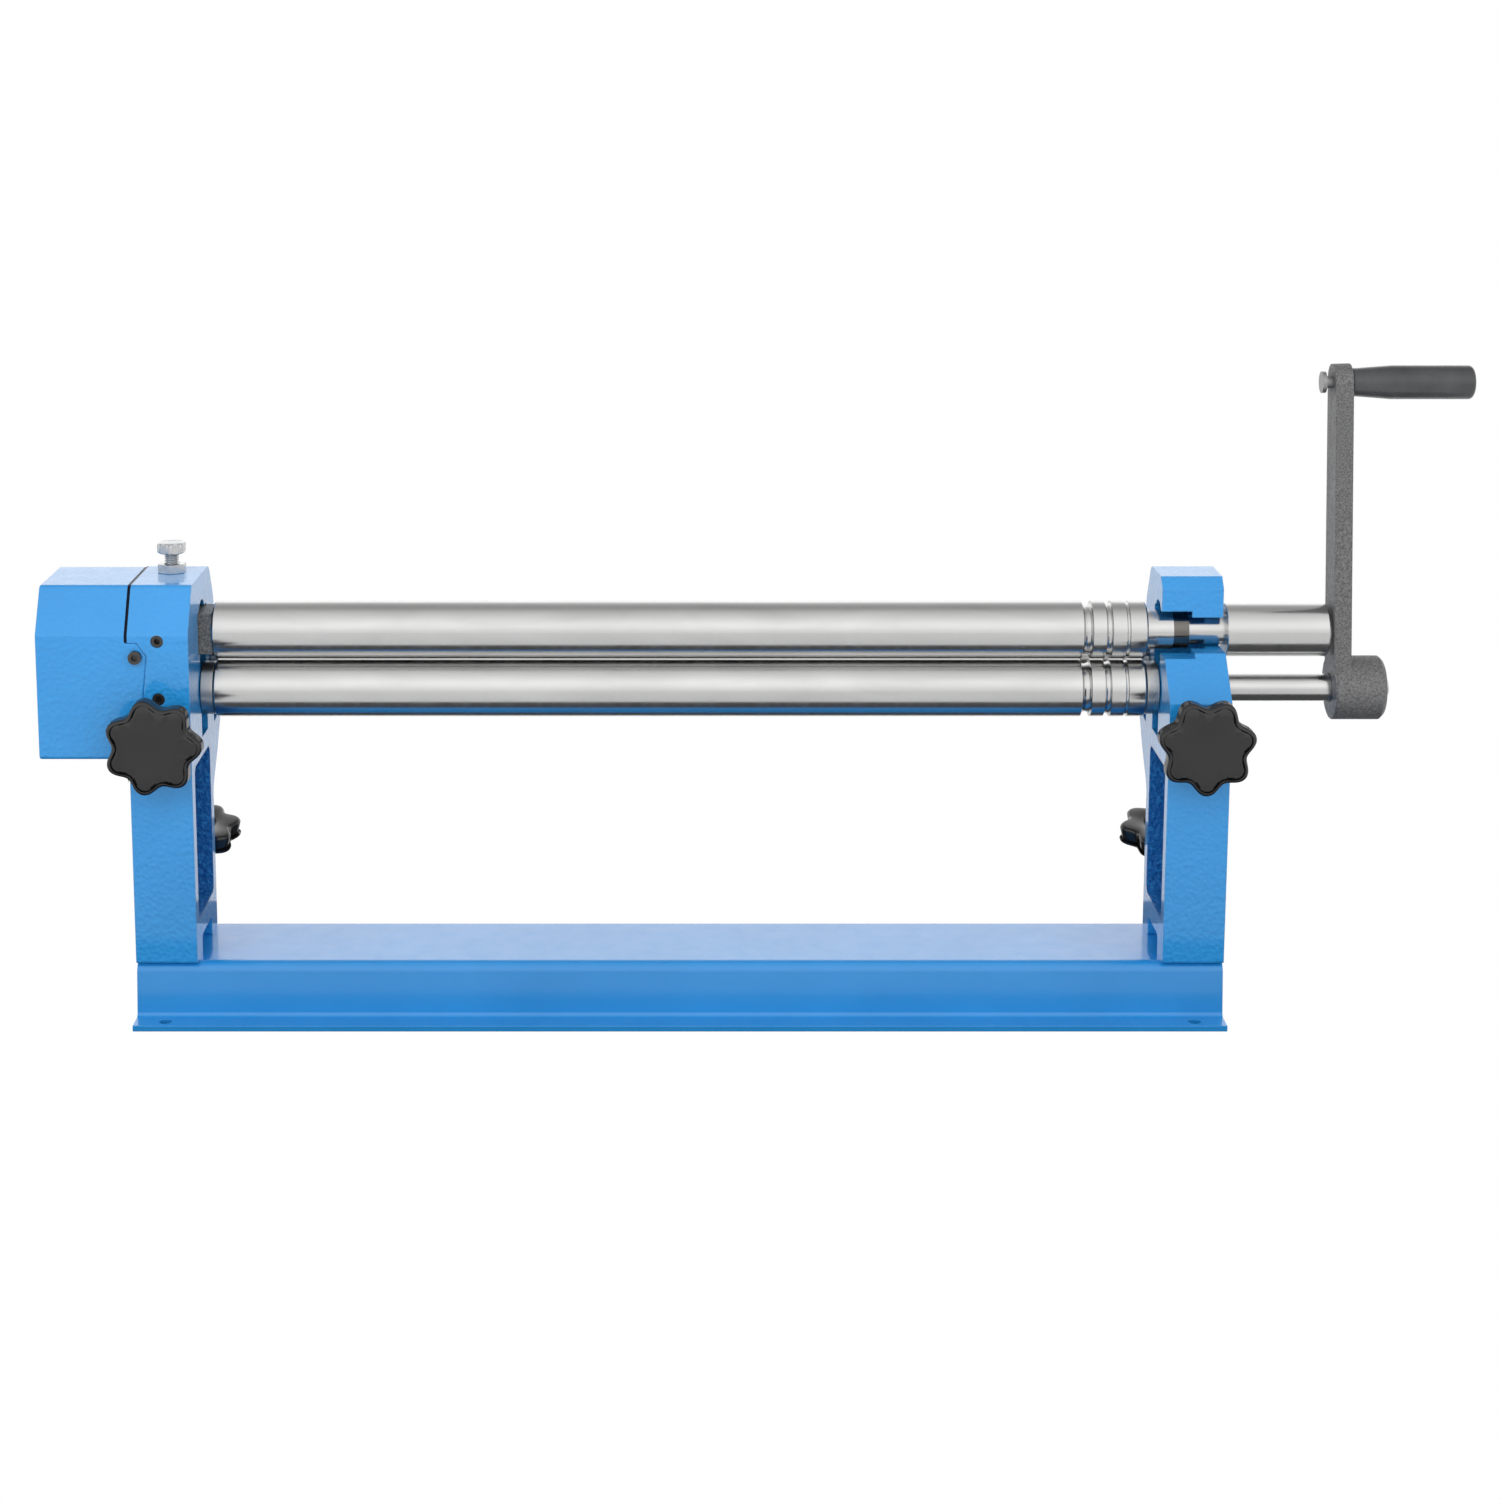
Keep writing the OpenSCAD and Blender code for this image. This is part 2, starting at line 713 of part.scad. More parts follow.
module rear_roll() {
  shaft_end = pocket_end - 1;
  color("silver") turn_x(rear_y, rear_z) polygon(turned([
    [-shaft_end, rear_shaft_d / 2], [-roll_end, rear_shaft_d / 2],
    [-roll_end, roll_r - 1], [1 - roll_end, roll_r],
    [roll_end - 1, roll_r], [roll_end, roll_r - 1],
    [roll_end, rear_shaft_d / 2], [shaft_end, rear_shaft_d / 2]
  ]));
}

// Bearing blocks
module flange_disc(y, z) {
  rod_x(roll_end + side_fit, roll_end + side_fit + block_flange_t, y, z, block_flange_d);
}

// The height of the wedge's top plane at y
function wedge_plane(y) = wedge_top - (y - wedge_front) * wedge_slope;

module lower_block() {
  front = roll_y - block_half;
  back = roll_y + block_half;
  color("slategray") difference() {
    union() {
      flange_disc(roll_y, lower_z);
      along_x(roll_end + side_fit + 1, pocket_end - side_fit) polygon([
        [front, wedge_plane(front) + run_fit], [front, lower_z + 11],
        [back, lower_z + 11], [back, wedge_plane(back) + run_fit]
      ]);
    }
    rod_x(roll_end, frame_out, roll_y, lower_z, shaft_d + 2 * run_fit);
  }
}

module rear_block() {
  half = rear_slot_half - slide_fit;
  color("slategray") difference() {
    union() {
      flange_disc(rear_y, rear_z);
      on_rear_slide() along_x(roll_end + side_fit + 1, pocket_end - side_fit)
        translate([-half, -rear_block_half]) square([2 * half, 2 * rear_block_half]);
    }
    rod_x(roll_end, frame_out, rear_y, rear_z, rear_shaft_d + 2 * run_fit);
    on_rear_slide() rod_z(frame_mid, 0, -rear_block_half - cut, -rear_block_half + 6.3,
      rear_screw_d - 2 + 2 * run_fit);
  }
}

module left_lower_block() { on_left() lower_block(); }
module right_lower_block() { lower_block(); }
module left_rear_block() { on_left() rear_block(); }
module right_rear_block() { rear_block(); }

// Wedges and their screws. The bevelled foot clears the slot's rounded corners.
module wedge() {
  foot = slot_floor + slide_fit;
  color("slategray") difference() {
    along_x(frame_mid - wedge_w / 2, frame_mid + wedge_w / 2) polygon([
      [wedge_front, foot + wedge_bevel], [wedge_front, wedge_top],
      [wedge_back, wedge_plane(wedge_back)], [wedge_back, foot + wedge_bevel],
      [wedge_back - wedge_bevel, foot], [wedge_front + wedge_bevel, foot]
    ]);
    rod_y(frame_mid, wedge_front - cut, wedge_front + tip_len + 0.3, front_screw_z,
      tip_d + 2 * run_fit);
  }
}

module left_wedge() { on_left() wedge(); }
module right_wedge() { wedge(); }

module front_screw() {
  color("gray") {
    rod_y(frame_mid, leg_front - knob_stand - knob_t + 5, wedge_front - 0.3, front_screw_z,
      screw_d);
    rod_y(frame_mid, wedge_front - cut, wedge_front + tip_len, front_screw_z, tip_d);
  }
}

module left_front_screw() { on_left() front_screw(); }
module right_front_screw() { front_screw(); }

module rear_screw() {
  color("gray") on_rear_slide() {
    rod_z(frame_mid, 0, -rear_knob_drop - knob_t + 5, -rear_block_half - 0.3, rear_screw_d);
    rod_z(frame_mid, 0, -rear_block_half - cut, -rear_block_half + 6, rear_screw_d - 2);
  }
}

module left_rear_screw() { on_left() rear_screw(); }
module right_rear_screw() { rear_screw(); }

// Star knob. Its face is at z = 0 and its screw leaves upwards.
function lobe_r(a) = knob_d / 2 - lobe_depth * pow((1 - cos(lobes * a)) / 2, 0.8);
function star(grow) =
  [for (i = [0 : 16 * lobes - 1]) let (a = 22.5 * i / lobes)
    (lobe_r(a) + grow) * [cos(a), sin(a)]];

module star_knob(phase, bore) {
  bevel = 1.5;
  recess = 3;
  color([0.08, 0.08, 0.09]) rotate([0, 0, phase]) difference() {
    union() {
      translate([0, 0, bevel]) linear_extrude(knob_t - 2 * bevel) polygon(star(0));
      linear_extrude(knob_t) polygon(star(-bevel));
    }
    translate([0, 0, knob_t - recess]) difference() {
      cylinder(h = recess + cut, d = 30);
      translate([0, 0, -cut]) cylinder(h = recess + 3 * cut, d = bore + 8);
    }
    translate([0, 0, 4.7]) cylinder(h = knob_t, d = bore + 2 * run_fit);
  }
}

module front_knob(phase) {
  translate([frame_mid, leg_front - knob_stand - knob_t, front_screw_z])
    rotate([-90, 0, 0]) star_knob(phase, screw_d);
}

module rear_knob(phase) {
  on_rear_slide(-rear_knob_drop - knob_t) translate([frame_mid, 0, 0])
    star_knob(phase, rear_screw_d);
}

module left_front_knob() { on_left() front_knob(180); }
module right_front_knob() { front_knob(90); }
module left_rear_knob() { on_left() rear_knob(10); }
module right_rear_knob() { rear_knob(30); }

// Gears
function tooth(a, n = 4) = let (
    flank = [for (i = [0 : n]) let (
        f = i / n,
        r = gear_root_r + (gear_tip_r - gear_root_r) * f,
        half = tooth_root_half + (tooth_tip_half - tooth_root_half) * pow(f, 1.5)
      ) [r, asin(half / r)]]
  )
  concat(
    [for (i = [0 : n]) flank[i][0] * [cos(a - flank[i][1]), sin(a - flank[i][1])]],
    [for (i = [n : -1 : 0]) flank[i][0] * [cos(a + flank[i][1]), sin(a + flank[i][1])]]
  );

module gear(z, first) {
  color("darkgray") difference() {
    union() {
      along_x(-gear_x - gear_w, -gear_x - 0.1) translate([roll_y, z])
        polygon([for (i = [0 : teeth - 1]) each tooth(first + 360 * i / teeth)]);
      rod_x(-gear_x - gear_w, -gear_x - 0.1, roll_y, z, 2 * gear_root_r - 1);
    }
    rod_x(-gear_x - gear_w - cut, -gear_x + cut, roll_y, z, gear_seat_d + 2 * run_fit);
    keyed_seat(-gear_x - gear_w - cut, roll_y, z, gear_seat_d, gear_w + 2 * cut,
      key_w + 2 * run_fit);
  }
}

module gear_key(z) {
  color("gray") keyed_seat(-gear_x - gear_w + 0.2, roll_y, z + run_fit, gear_seat_d,
    gear_w - 0.5, key_w - run_fit);
}

// Split ring that keeps a gear on its shaft
module gear_ring(z) {
  color("dimgray") difference() {
    rod_x(-gear_x - gear_w - 0.15 - ring_t, -gear_x - gear_w - 0.15, roll_y, z,
      gear_seat_d + 5);
    rod_x(-gear_x - seat_len, -gear_x, roll_y, z, gear_seat_d - 1.4 + 2 * run_fit);
    translate([-gear_x - seat_len, roll_y - 3, z - gear_seat_d]) cube([seat_len, 6, gear_seat_d]);
  }
}

module upper_gear() { gear(upper_z, -90); }
module lower_gear() { gear(lower_z, 90 + 180 / teeth); }
module upper_gear_key() { gear_key(upper_z); }
module lower_gear_key() { gear_key(lower_z); }
module upper_gear_ring() { gear_ring(upper_z); }
module lower_gear_ring() { gear_ring(lower_z); }

// Crank
module crank_arm() {
  arm_x = boss_x - 1;
  lean = atan(arm_lean / crank_r);
  color([0.3, 0.3, 0.31]) difference() {
    union() {
      turn_x(roll_y, lower_z) polygon(turned([
        [boss_x, boss_d / 2], [boss_end - boss_bevel, boss_d / 2],
        [boss_end, boss_d / 2 - boss_bevel]
      ]));
      translate([arm_x, roll_y, lower_z]) rotate([0, -lean, 0]) along_x(0, arm_t) {
        circle(d = boss_d - 1);
        polygon(rounded([
          [-arm_w / 2, 0, 0], [arm_w / 2, 0, 0],
          [arm_top_w / 2, crank_r + arm_top_w / 2, arm_top_w / 2 - 0.5],
          [-arm_top_w / 2, crank_r + arm_top_w / 2, arm_top_w / 2 - 0.5]
        ], 10));
      }
    }
    rod_x(boss_x - 8, boss_end + cut, roll_y, lower_z, crank_seat_d + 2 * run_fit);
    rod_x(boss_x - 8, boss_x, roll_y, lower_z, shaft_d + 1);
    keyed_seat(boss_x, roll_y, lower_z, crank_seat_d, boss_len + cut, key_w + 2 * run_fit);
    rod_x(boss_x - 20, grip_x + cut, roll_y, grip_z, spindle_d + 2 * run_fit);
  }
}

module crank_key() {
  color("gray") keyed_seat(boss_x + 2.1, roll_y, lower_z + run_fit, crank_seat_d,
    boss_len - 6.2, key_w - run_fit);
}

module crank_washer() {
  color("silver") difference() {
    rod_x(boss_end, boss_end + crank_washer_t, roll_y, lower_z, crank_washer_d);
    rod_x(boss_end - cut, boss_end + 3, roll_y, lower_z, crank_screw_d + 0.4);
  }
}

module crank_screw() {
  seat = boss_end + crank_washer_t;
  recess = [1.5, crank_head_d / 2, 1.6];
  color("silver") difference() {
    turn_x(roll_y, lower_z) polygon(turned([
      [boss_end - 16, crank_screw_d / 2], [seat, crank_screw_d / 2], [seat, crank_head_d / 2],
      [seat + crank_head_h / 2, crank_head_d / 2],
      [seat + crank_head_h, crank_head_d / 2 - crank_head_h / 2]
    ]));
    for (side = [[recess.x, recess.y], [recess.y, recess.x]])
      translate([seat + crank_head_h - recess.z, roll_y - side.x / 2, lower_z - side.y / 2])
        cube([recess.z + cut, side.x, side.y]);
  }
}

module grip_spindle() {
  head_x = grip_x - arm_t - arm_lean;
  color("gray") {
    rod_x(head_x + 1, grip_end - 1.5, roll_y, grip_z, spindle_d);
    rod_x(head_x - 1.5, head_x + 1.1, roll_y, grip_z, spindle_d + 6);
    rod_x(grip_end - 4, grip_end - 1, roll_y, grip_z, spindle_d + 6);
  }
}

module grip() {
  outline = rounded([
    [spindle_d / 2 + 0.1, 0, 0], [grip_neck_d / 2, 0, 1.2], [grip_neck_d / 2, 3, 0],
    [grip_d / 2, 26, 0], [grip_d / 2, grip_len, 3],
    [spindle_d / 2 + 3.5, grip_len, 0], [spindle_d / 2 + 3.5, grip_len - 4.3, 0],
    [spindle_d / 2 + 0.1, grip_len - 4.3, 0]
  ], 4);
  color([0.08, 0.08, 0.09]) translate([grip_x, roll_y, grip_z]) rotate([0, 90, 0])
    rotate_extrude($fn = 96) polygon(outline);
}

base_channel();
left_frame();
right_frame();
frame_bolts();
frame_washers();
gear_cover();
cover_screw();
set_screws();
swing_bolt();
swing_jam_nut();
trunnion_block();
upper_roll();
upper_gear();
upper_gear_key();
upper_gear_ring();
left_lower_block();
right_lower_block();
lower_roll();
lower_gear();
lower_gear_key();
lower_gear_ring();
left_wedge();
right_wedge();
left_front_screw();
right_front_screw();
left_front_knob();
right_front_knob();
left_rear_block();
right_rear_block();
rear_roll();
left_rear_screw();
right_rear_screw();
left_rear_knob();
right_rear_knob();
crank_arm();
crank_key();
crank_washer();
crank_screw();
grip_spindle();
grip();
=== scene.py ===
# %% [markdown]
# # A bench slip roll, dressed in Blender
# A slip roll bends sheet metal between three steel rolls. The machine's solids come ready
# made from a CAD model, at their real size and place. This lesson gives them their surfaces:
# enamel, ground steel, moulded knobs, zinc and black screws, and the fine forms, such as
# screw threads and rounded lobes, that the CAD model leaves out.

import json
import math

import bmesh
import bpy
from mathutils import Matrix, Vector


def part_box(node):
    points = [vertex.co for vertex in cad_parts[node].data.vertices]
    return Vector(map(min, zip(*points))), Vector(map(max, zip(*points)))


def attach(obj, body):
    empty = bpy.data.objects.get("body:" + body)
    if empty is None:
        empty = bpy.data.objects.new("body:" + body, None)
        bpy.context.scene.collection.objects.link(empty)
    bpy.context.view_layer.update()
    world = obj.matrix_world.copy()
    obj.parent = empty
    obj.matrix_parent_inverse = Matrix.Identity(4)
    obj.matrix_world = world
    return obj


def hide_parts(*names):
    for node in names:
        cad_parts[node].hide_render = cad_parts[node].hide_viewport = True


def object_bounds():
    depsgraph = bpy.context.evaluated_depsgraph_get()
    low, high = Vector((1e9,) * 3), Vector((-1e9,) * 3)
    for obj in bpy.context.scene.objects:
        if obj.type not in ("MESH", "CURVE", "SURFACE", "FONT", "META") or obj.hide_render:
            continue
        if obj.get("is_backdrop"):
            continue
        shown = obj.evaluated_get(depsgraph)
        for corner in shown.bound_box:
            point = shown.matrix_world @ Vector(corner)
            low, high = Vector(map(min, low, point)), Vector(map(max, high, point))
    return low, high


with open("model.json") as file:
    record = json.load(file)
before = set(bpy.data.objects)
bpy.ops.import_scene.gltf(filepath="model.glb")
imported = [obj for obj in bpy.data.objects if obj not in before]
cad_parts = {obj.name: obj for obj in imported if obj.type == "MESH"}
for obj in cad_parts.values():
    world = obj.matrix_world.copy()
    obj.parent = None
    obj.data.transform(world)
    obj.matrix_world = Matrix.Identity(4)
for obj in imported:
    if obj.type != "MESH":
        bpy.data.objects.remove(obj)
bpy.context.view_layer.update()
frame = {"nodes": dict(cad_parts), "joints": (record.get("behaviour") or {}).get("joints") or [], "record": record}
nodes = frame["nodes"]
MM = 0.001

# %% [markdown]
# ## Where things are
# The side frames carry all the rest, and several steps below start from the right one's
# faces. Places that are typed in would be wrong as soon as the model changes size, so they
# are read from the boxes, openings and joints that come with the model.

# %% Measure the right frame
frame_low, frame_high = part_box("right_frame")
print("right frame from x =", round(frame_low.x / MM, 1), "to", round(frame_high.x / MM, 1), "mm")

# %% [markdown]
# ## A small kit for node materials
# A material here is a Principled shader with a few texture nodes in front of it. Pictures of
# paint and steel could do this too, but they need unwrapped meshes and show where they
# repeat. Noise needs neither a picture nor an unwrapped mesh. It uses object coordinates:
# every piece keeps its own place, in metres, so the grain has its real scale and moves with
# the piece. A noise of scale 100 has about 100 grains in a metre.


# %% Helpers for materials
class Finish:
    """A material with its Principled shader and a short way to add nodes."""

    # The cosine between the rounded and the true normal, on an edge and just off it.
    EDGE_LEAN = (0.72, 0.97)

    def __init__(self, name, **uniform):
        self.material = bpy.data.materials.new(name)
        self.material.use_nodes = True
        self.tree = self.material.node_tree
        self.shader = self.tree.nodes["Principled BSDF"]
        for socket, value in uniform.items():
            self.shader.inputs[socket.replace("_", " ")].default_value = value
        self.place = self.add("ShaderNodeTexCoord").outputs["Object"]

    def add(self, kind, **settings):
        node = self.tree.nodes.new(kind)
        for key, value in settings.items():
            setattr(node, key, value)
        return node

    def join(self, source, target):
        self.tree.links.new(source, target)

    def scaled(self, factors):
        node = self.add("ShaderNodeMapping")
        node.inputs["Scale"].default_value = factors
        self.join(self.place, node.inputs["Vector"])
        return node.outputs["Vector"]

    def noise(self, scale, detail=2.0, stretch=(1, 1, 1), distortion=0.0):
        node = self.add("ShaderNodeTexNoise")
        node.inputs["Scale"].default_value = scale
        node.inputs["Detail"].default_value = detail
        node.inputs["Distortion"].default_value = distortion
        self.join(self.scaled(stretch), node.inputs["Vector"])
        return node.outputs["Fac"]

    def cells(self, scale):
        node = self.add("ShaderNodeTexVoronoi", feature="SMOOTH_F1")
        node.inputs["Scale"].default_value = scale
        node.inputs["Smoothness"].default_value = 0.6
        self.join(self.place, node.inputs["Vector"])
        return node.outputs["Distance"]

    def levels(self, value, low, high, to_low, to_high):
        """Stretches the range low to high of a value onto another range."""
        node = self.add("ShaderNodeMapRange")
        for socket, number in zip(
            ("From Min", "From Max", "To Min", "To Max"), (low, high, to_low, to_high)
        ):
            node.inputs[socket].default_value = number
        self.join(value, node.inputs["Value"])
        return node.outputs["Result"]

    def tint(self, value, dark, light):
        """Colours the surface dark where value is 0 and light where it is 1."""
        node = self.add("ShaderNodeMix", data_type="RGBA")
        node.inputs["A"].default_value = (*dark, 1)
        node.inputs["B"].default_value = (*light, 1)
        self.join(value, node.inputs["Factor"])
        self.join(node.outputs["Result"], self.shader.inputs["Base Color"])

    def rough(self, value, low, high, smooth, coarse):
        self.join(self.levels(value, low, high, smooth, coarse), self.shader.inputs["Roughness"])

    def soften(self, radius):
        """Shades sharp edges as if they were rounded, and returns a mask of those edges."""
        node = self.add("ShaderNodeBevel", samples=6)
        node.inputs["Radius"].default_value = radius
        self.join(node.outputs["Normal"], self.shader.inputs["Normal"])
        lean = self.add("ShaderNodeVectorMath", operation="DOT_PRODUCT")
        self.join(node.outputs["Normal"], lean.inputs[0])
        self.join(self.add("ShaderNodeNewGeometry").outputs["True Normal"], lean.inputs[1])
        return self.levels(lean.outputs["Value"], *self.EDGE_LEAN, 1, 0)

    def bump(self, value, depth):
        """Raises the surface by depth metres where value is 1. Calls stack."""
        node = self.add("ShaderNodeBump")
        node.inputs["Distance"].default_value = depth
        node.inputs["Strength"].default_value = 1
        self.join(value, node.inputs["Height"])
        before = self.shader.inputs["Normal"].links
        if before:
            self.join(before[0].from_socket, node.inputs["Normal"])
        self.join(node.outputs["Normal"], self.shader.inputs["Normal"])


print("material kit ready")

# %% [markdown]
# ## Masks
# Edges are painted paler, as a painted highlight, and a pocket is painted darker, as painted
# shade, all on one piece. A mask is a value that is 1 where a finish has to change and 0
# elsewhere. It could be painted by hand on the unwrapped mesh. Here it is worked out in the
# shader, from where a point lies or from how the surface bends, so it still fits when the
# machine changes size. One function makes a mask from a coordinate, one joins two masks,
# and one paints a colour through a mask.


# %% Helpers for masks
def inside(finish, axis, middle, half, mirrored=False):
    """1 where the point's coordinate on the axis lies within half of the middle."""
    split = finish.add("ShaderNodeSeparateXYZ")
    finish.join(finish.place, split.inputs[0])
    value = split.outputs[axis]
    if mirrored:
        flip = finish.add("ShaderNodeMath", operation="ABSOLUTE")
        finish.join(value, flip.inputs[0])
        value = flip.outputs[0]
    near = finish.add("ShaderNodeMath", operation="COMPARE")
    near.inputs[1].default_value = middle
    near.inputs[2].default_value = half
    finish.join(value, near.inputs[0])
    return near.outputs[0]


def both(finish, first, second):
    """1 where both masks are 1."""
    product = finish.add("ShaderNodeMath", operation="MULTIPLY")
    finish.join(first, product.inputs[0])
    finish.join(second, product.inputs[1])
    return product.outputs[0]


def overlay(finish, mask, colour):
    """Paints the colour over a finish where the mask is 1."""
    mix = finish.add("ShaderNodeMix", data_type="RGBA")
    mix.inputs["B"].default_value = (*colour, 1)
    finish.join(mask, mix.inputs["Factor"])
    finish.join(finish.shader.inputs["Base Color"].links[0].from_socket, mix.inputs["A"])
    finish.join(mix.outputs["Result"], finish.shader.inputs["Base Color"])


print("mask helpers ready")

# %% [markdown]
# ## Blue hammered enamel
# The frames, the cover and the base are sprayed with a glossy enamel. On the castings it
# dries into shallow dimples 2 to 3 mm across, from the sand-cast skin below it. A clear coat
# gives the pale sheen that the top faces show where light grazes them. The castings' edges
# are painted paler than their faces, in patches, as a painted highlight. The smooth sheet of
# the base only has the faint orange peel of sprayed paint. The dimples could be modelled, but
# they are only tenths of a millimetre deep, so bump in the shading is enough. The sharp edges
# of the castings are rounded in the shading too.


# %% The enamels
def add_enamel(name, dark, light, gloss):
    """A clear-coated enamel whose roughness starts at gloss."""
    f = Finish(name, Coat_Weight=1.0, Coat_Roughness=0.1, Coat_IOR=1.5, Specular_IOR_Level=0.2)
    f.tint(f.levels(f.noise(14, 3), 0.3, 0.7, 0, 1), dark, light)
    f.rough(f.noise(90, 3), 0.3, 0.7, gloss, gloss + 0.12)
    return f


EDGE_RADIUS = 1.5 * MM
DIMPLE_DEPTH, SKIN_DEPTH, ORANGE_PEEL = 0.6 * MM, 0.16 * MM, 0.05 * MM
EDGE_HIGHLIGHT_BLUE, EDGE_HIGHLIGHT_SHARE = (0.2, 0.48, 0.82), 0.6

castings = add_enamel("cast_blue", (0.016, 0.275, 0.68), (0.024, 0.31, 0.745), 0.32)
edges = castings.soften(EDGE_RADIUS)
castings.bump(castings.cells(330), DIMPLE_DEPTH)
castings.bump(castings.noise(520, 4), SKIN_DEPTH)
# Painted highlight: a paler blue is painted along the castings' edges, in patches.
patches = castings.levels(castings.noise(210, 3), 0.35, 0.6, 0.25, 1)
edge_highlight = castings.levels(both(castings, edges, patches), 0, 1, 0, EDGE_HIGHLIGHT_SHARE)
overlay(castings, edge_highlight, EDGE_HIGHLIGHT_BLUE)
cast_blue = castings.material
sheet = add_enamel("sheet_blue", (0.015, 0.255, 0.65), (0.021, 0.285, 0.71), 0.28)
sheet.bump(sheet.noise(260, 3), ORANGE_PEEL)
sheet_blue = sheet.material
print("enamels:", cast_blue.name, sheet_blue.name)

# %% [markdown]
# ## The pockets' raw skin and painted shade
# Inside the window pockets of the frames the sand-cast skin is left coarse, and the enamel is
# painted a darker blue, as painted shade in the hollow. Each frame is one piece, so a second
# material would need its faces picked out. A mask is simpler: it is 1 where a point lies
# inside the pocket's box, which is read from the model's stated openings and mirrored for the
# other frame.

# %% The pockets
POCKET_EDGE = 3.5 * MM
POCKET_SIDE = 2 * MM
POCKET_SHADE_BLUE, GRAIN_BLUE = (0.012, 0.135, 0.42), (0.03, 0.25, 0.62)
GRAIN_SHARE, GRAIN_DEPTH = 0.7, 1.8 * MM

opening = next(o for o in frame["record"]["physics"]["openings"] if o["name"] == "right_window")
(x0, y0, z0), (x1, y1, z1) = opening["box_m"]
across = inside(castings, "X", (x0 + x1) / 2, (x1 - x0) / 2 + POCKET_SIDE, mirrored=True)
along_y = inside(castings, "Y", (y0 + y1) / 2, (y1 - y0) / 2 + POCKET_EDGE)
upright = inside(castings, "Z", (z0 + z1) / 2, (z1 - z0) / 2 + POCKET_EDGE)
pocket = both(castings, across, both(castings, along_y, upright))
# Painted shade: the pocket's enamel is painted a darker blue.
overlay(castings, pocket, POCKET_SHADE_BLUE)
grains = castings.noise(360, 4)
bright_grains = castings.levels(grains, 0.52, 0.6, 0, GRAIN_SHARE)
overlay(castings, both(castings, bright_grains, pocket), GRAIN_BLUE)
castings.bump(both(castings, grains, pocket), GRAIN_DEPTH)
print("pocket mask from", [round(v / MM) for v in (x0, y0, z0, x1, y1, z1)])

# %% [markdown]
# ## The cover's seam
# Where the gear cover meets the left frame, a real machine has a fine dark gap that no paint
# reaches. In the CAD model the two pieces touch, and a gap would have to be cut there. For a
# dark line a mask is enough: over both pieces it darkens the paint and takes off the clear
# coat, which would shine. The frame's outer face lies in the same plane, so the strip of it
# that shows behind the cover comes out dark as well, which a limit in Y would prevent.

# %% The seam
SEAM_HALF = 1 * MM
SEAM_DARK = (0.002, 0.006, 0.02)
seam_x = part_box("left_frame")[0].x
seam_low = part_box("cover_screw")[1].z + 5 * MM
seam_high = frame_high.z + 2 * MM
seam = both(
    castings,
    inside(castings, "X", seam_x, SEAM_HALF),
    inside(castings, "Z", (seam_low + seam_high) / 2, (seam_high - seam_low) / 2),
)
overlay(castings, seam, SEAM_DARK)
castings.join(castings.levels(seam, 0, 1, 1, 0), castings.shader.inputs["Coat Weight"])
print("seam at x =", round(seam_x / MM, 1), "mm, above z =", round(seam_low / MM, 1), "mm")

# %% [markdown]
# ## Ground and turned steel
# The rolls are ground, then polished on a lathe: fine lines run round them, a fifth of a
# millimetre wide and less, with a few broader bands. Noise that is stretched flat in Y and Z
# changes only along X, which draws exactly such rings. Grooves in the mesh would need more
# than a million faces for the same look.


# %% The steels
SMEAR_TONE = 0.86


def turned_steel(name, colour, smooth, coarse, rings):
    """Steel with lathe rings of a given height; smooth and coarse are its roughness limits."""
    f = Finish(name, Metallic=1.0)
    fine = f.noise(1, 4, stretch=(5200, 0.5, 0.5))
    bands = f.noise(1, 3, stretch=(160, 3, 3))
    smear = f.noise(55, 4, stretch=(0.25, 1, 1), distortion=0.6)
    smeared = tuple(c * SMEAR_TONE for c in colour)
    f.tint(f.levels(smear, 0.25, 0.75, 0, 1), smeared, colour)
    f.rough(bands, 0.3, 0.7, smooth, coarse)
    f.bump(fine, rings)
    return f


ROLL_GREY = (0.62, 0.62, 0.615)
ROLL_FINISH = (ROLL_GREY, 0.16, 0.23, 0.006 * MM)
roll_steel = turned_steel("roll_steel", *ROLL_FINISH).material
upper_steel = turned_steel("upper_roll_steel", *ROLL_FINISH)
block_steel = turned_steel(
    "block_steel", (0.5, 0.495, 0.485), 0.26, 0.36, 0.02 * MM).material
gear_steel = turned_steel("gear_steel", (0.36, 0.36, 0.36), 0.34, 0.46, 0.03 * MM).material
print("steels:", roll_steel.name, block_steel.name, gear_steel.name)

# %% [markdown]
# ## The upper roll's shaded band
# Beside the upper roll's right journal, in the open mouth, a band is turned a little thinner
# and painted dark, as painted shade in the mouth. The thinner form is in the CAD solid, so
# only the shade is painted on, by a mask on that roll's own finish. BAND_FROM counts from the
# right frame's inner face.

# %% The dark band
BAND_FROM, BAND_LONG = 8.4 * MM, 10.2 * MM
BAND_SHADE = (0.16, 0.15, 0.14)
band_mid = frame_low.x + BAND_FROM + BAND_LONG / 2
# Painted shade: the thinner band in the mouth is painted dark.
overlay(upper_steel, inside(upper_steel, "X", band_mid, BAND_LONG / 2), BAND_SHADE)
print("dark band on the upper roll at x =", round(band_mid / MM, 1), "mm")

# %% [markdown]
# ## Castings, zinc, oxide and plastic
# The crank keeps its grey sand-cast skin: coarse grain, no paint. Zinc plate is a bright,
# faintly blue metal with soft blotches. Black oxide is dark and oily. The knobs and the grip
# are moulded with a polished skin, so their finish is nearly flat, with fine moulding haze.


# %% The other finishes
def raw_casting(name, dark, light, grain, metal):
    """An unpainted casting; grain is the height of its skin."""
    f = Finish(name, Metallic=metal, IOR=1.6)
    speckle = f.noise(900, 5)
    f.tint(f.levels(speckle, 0.35, 0.65, 0, 1), dark, light)
    f.rough(f.noise(300, 3), 0.3, 0.7, 0.42, 0.62)
    f.bump(f.noise(650, 5), grain)
    f.bump(f.cells(260), grain * 0.6)
    return f.material


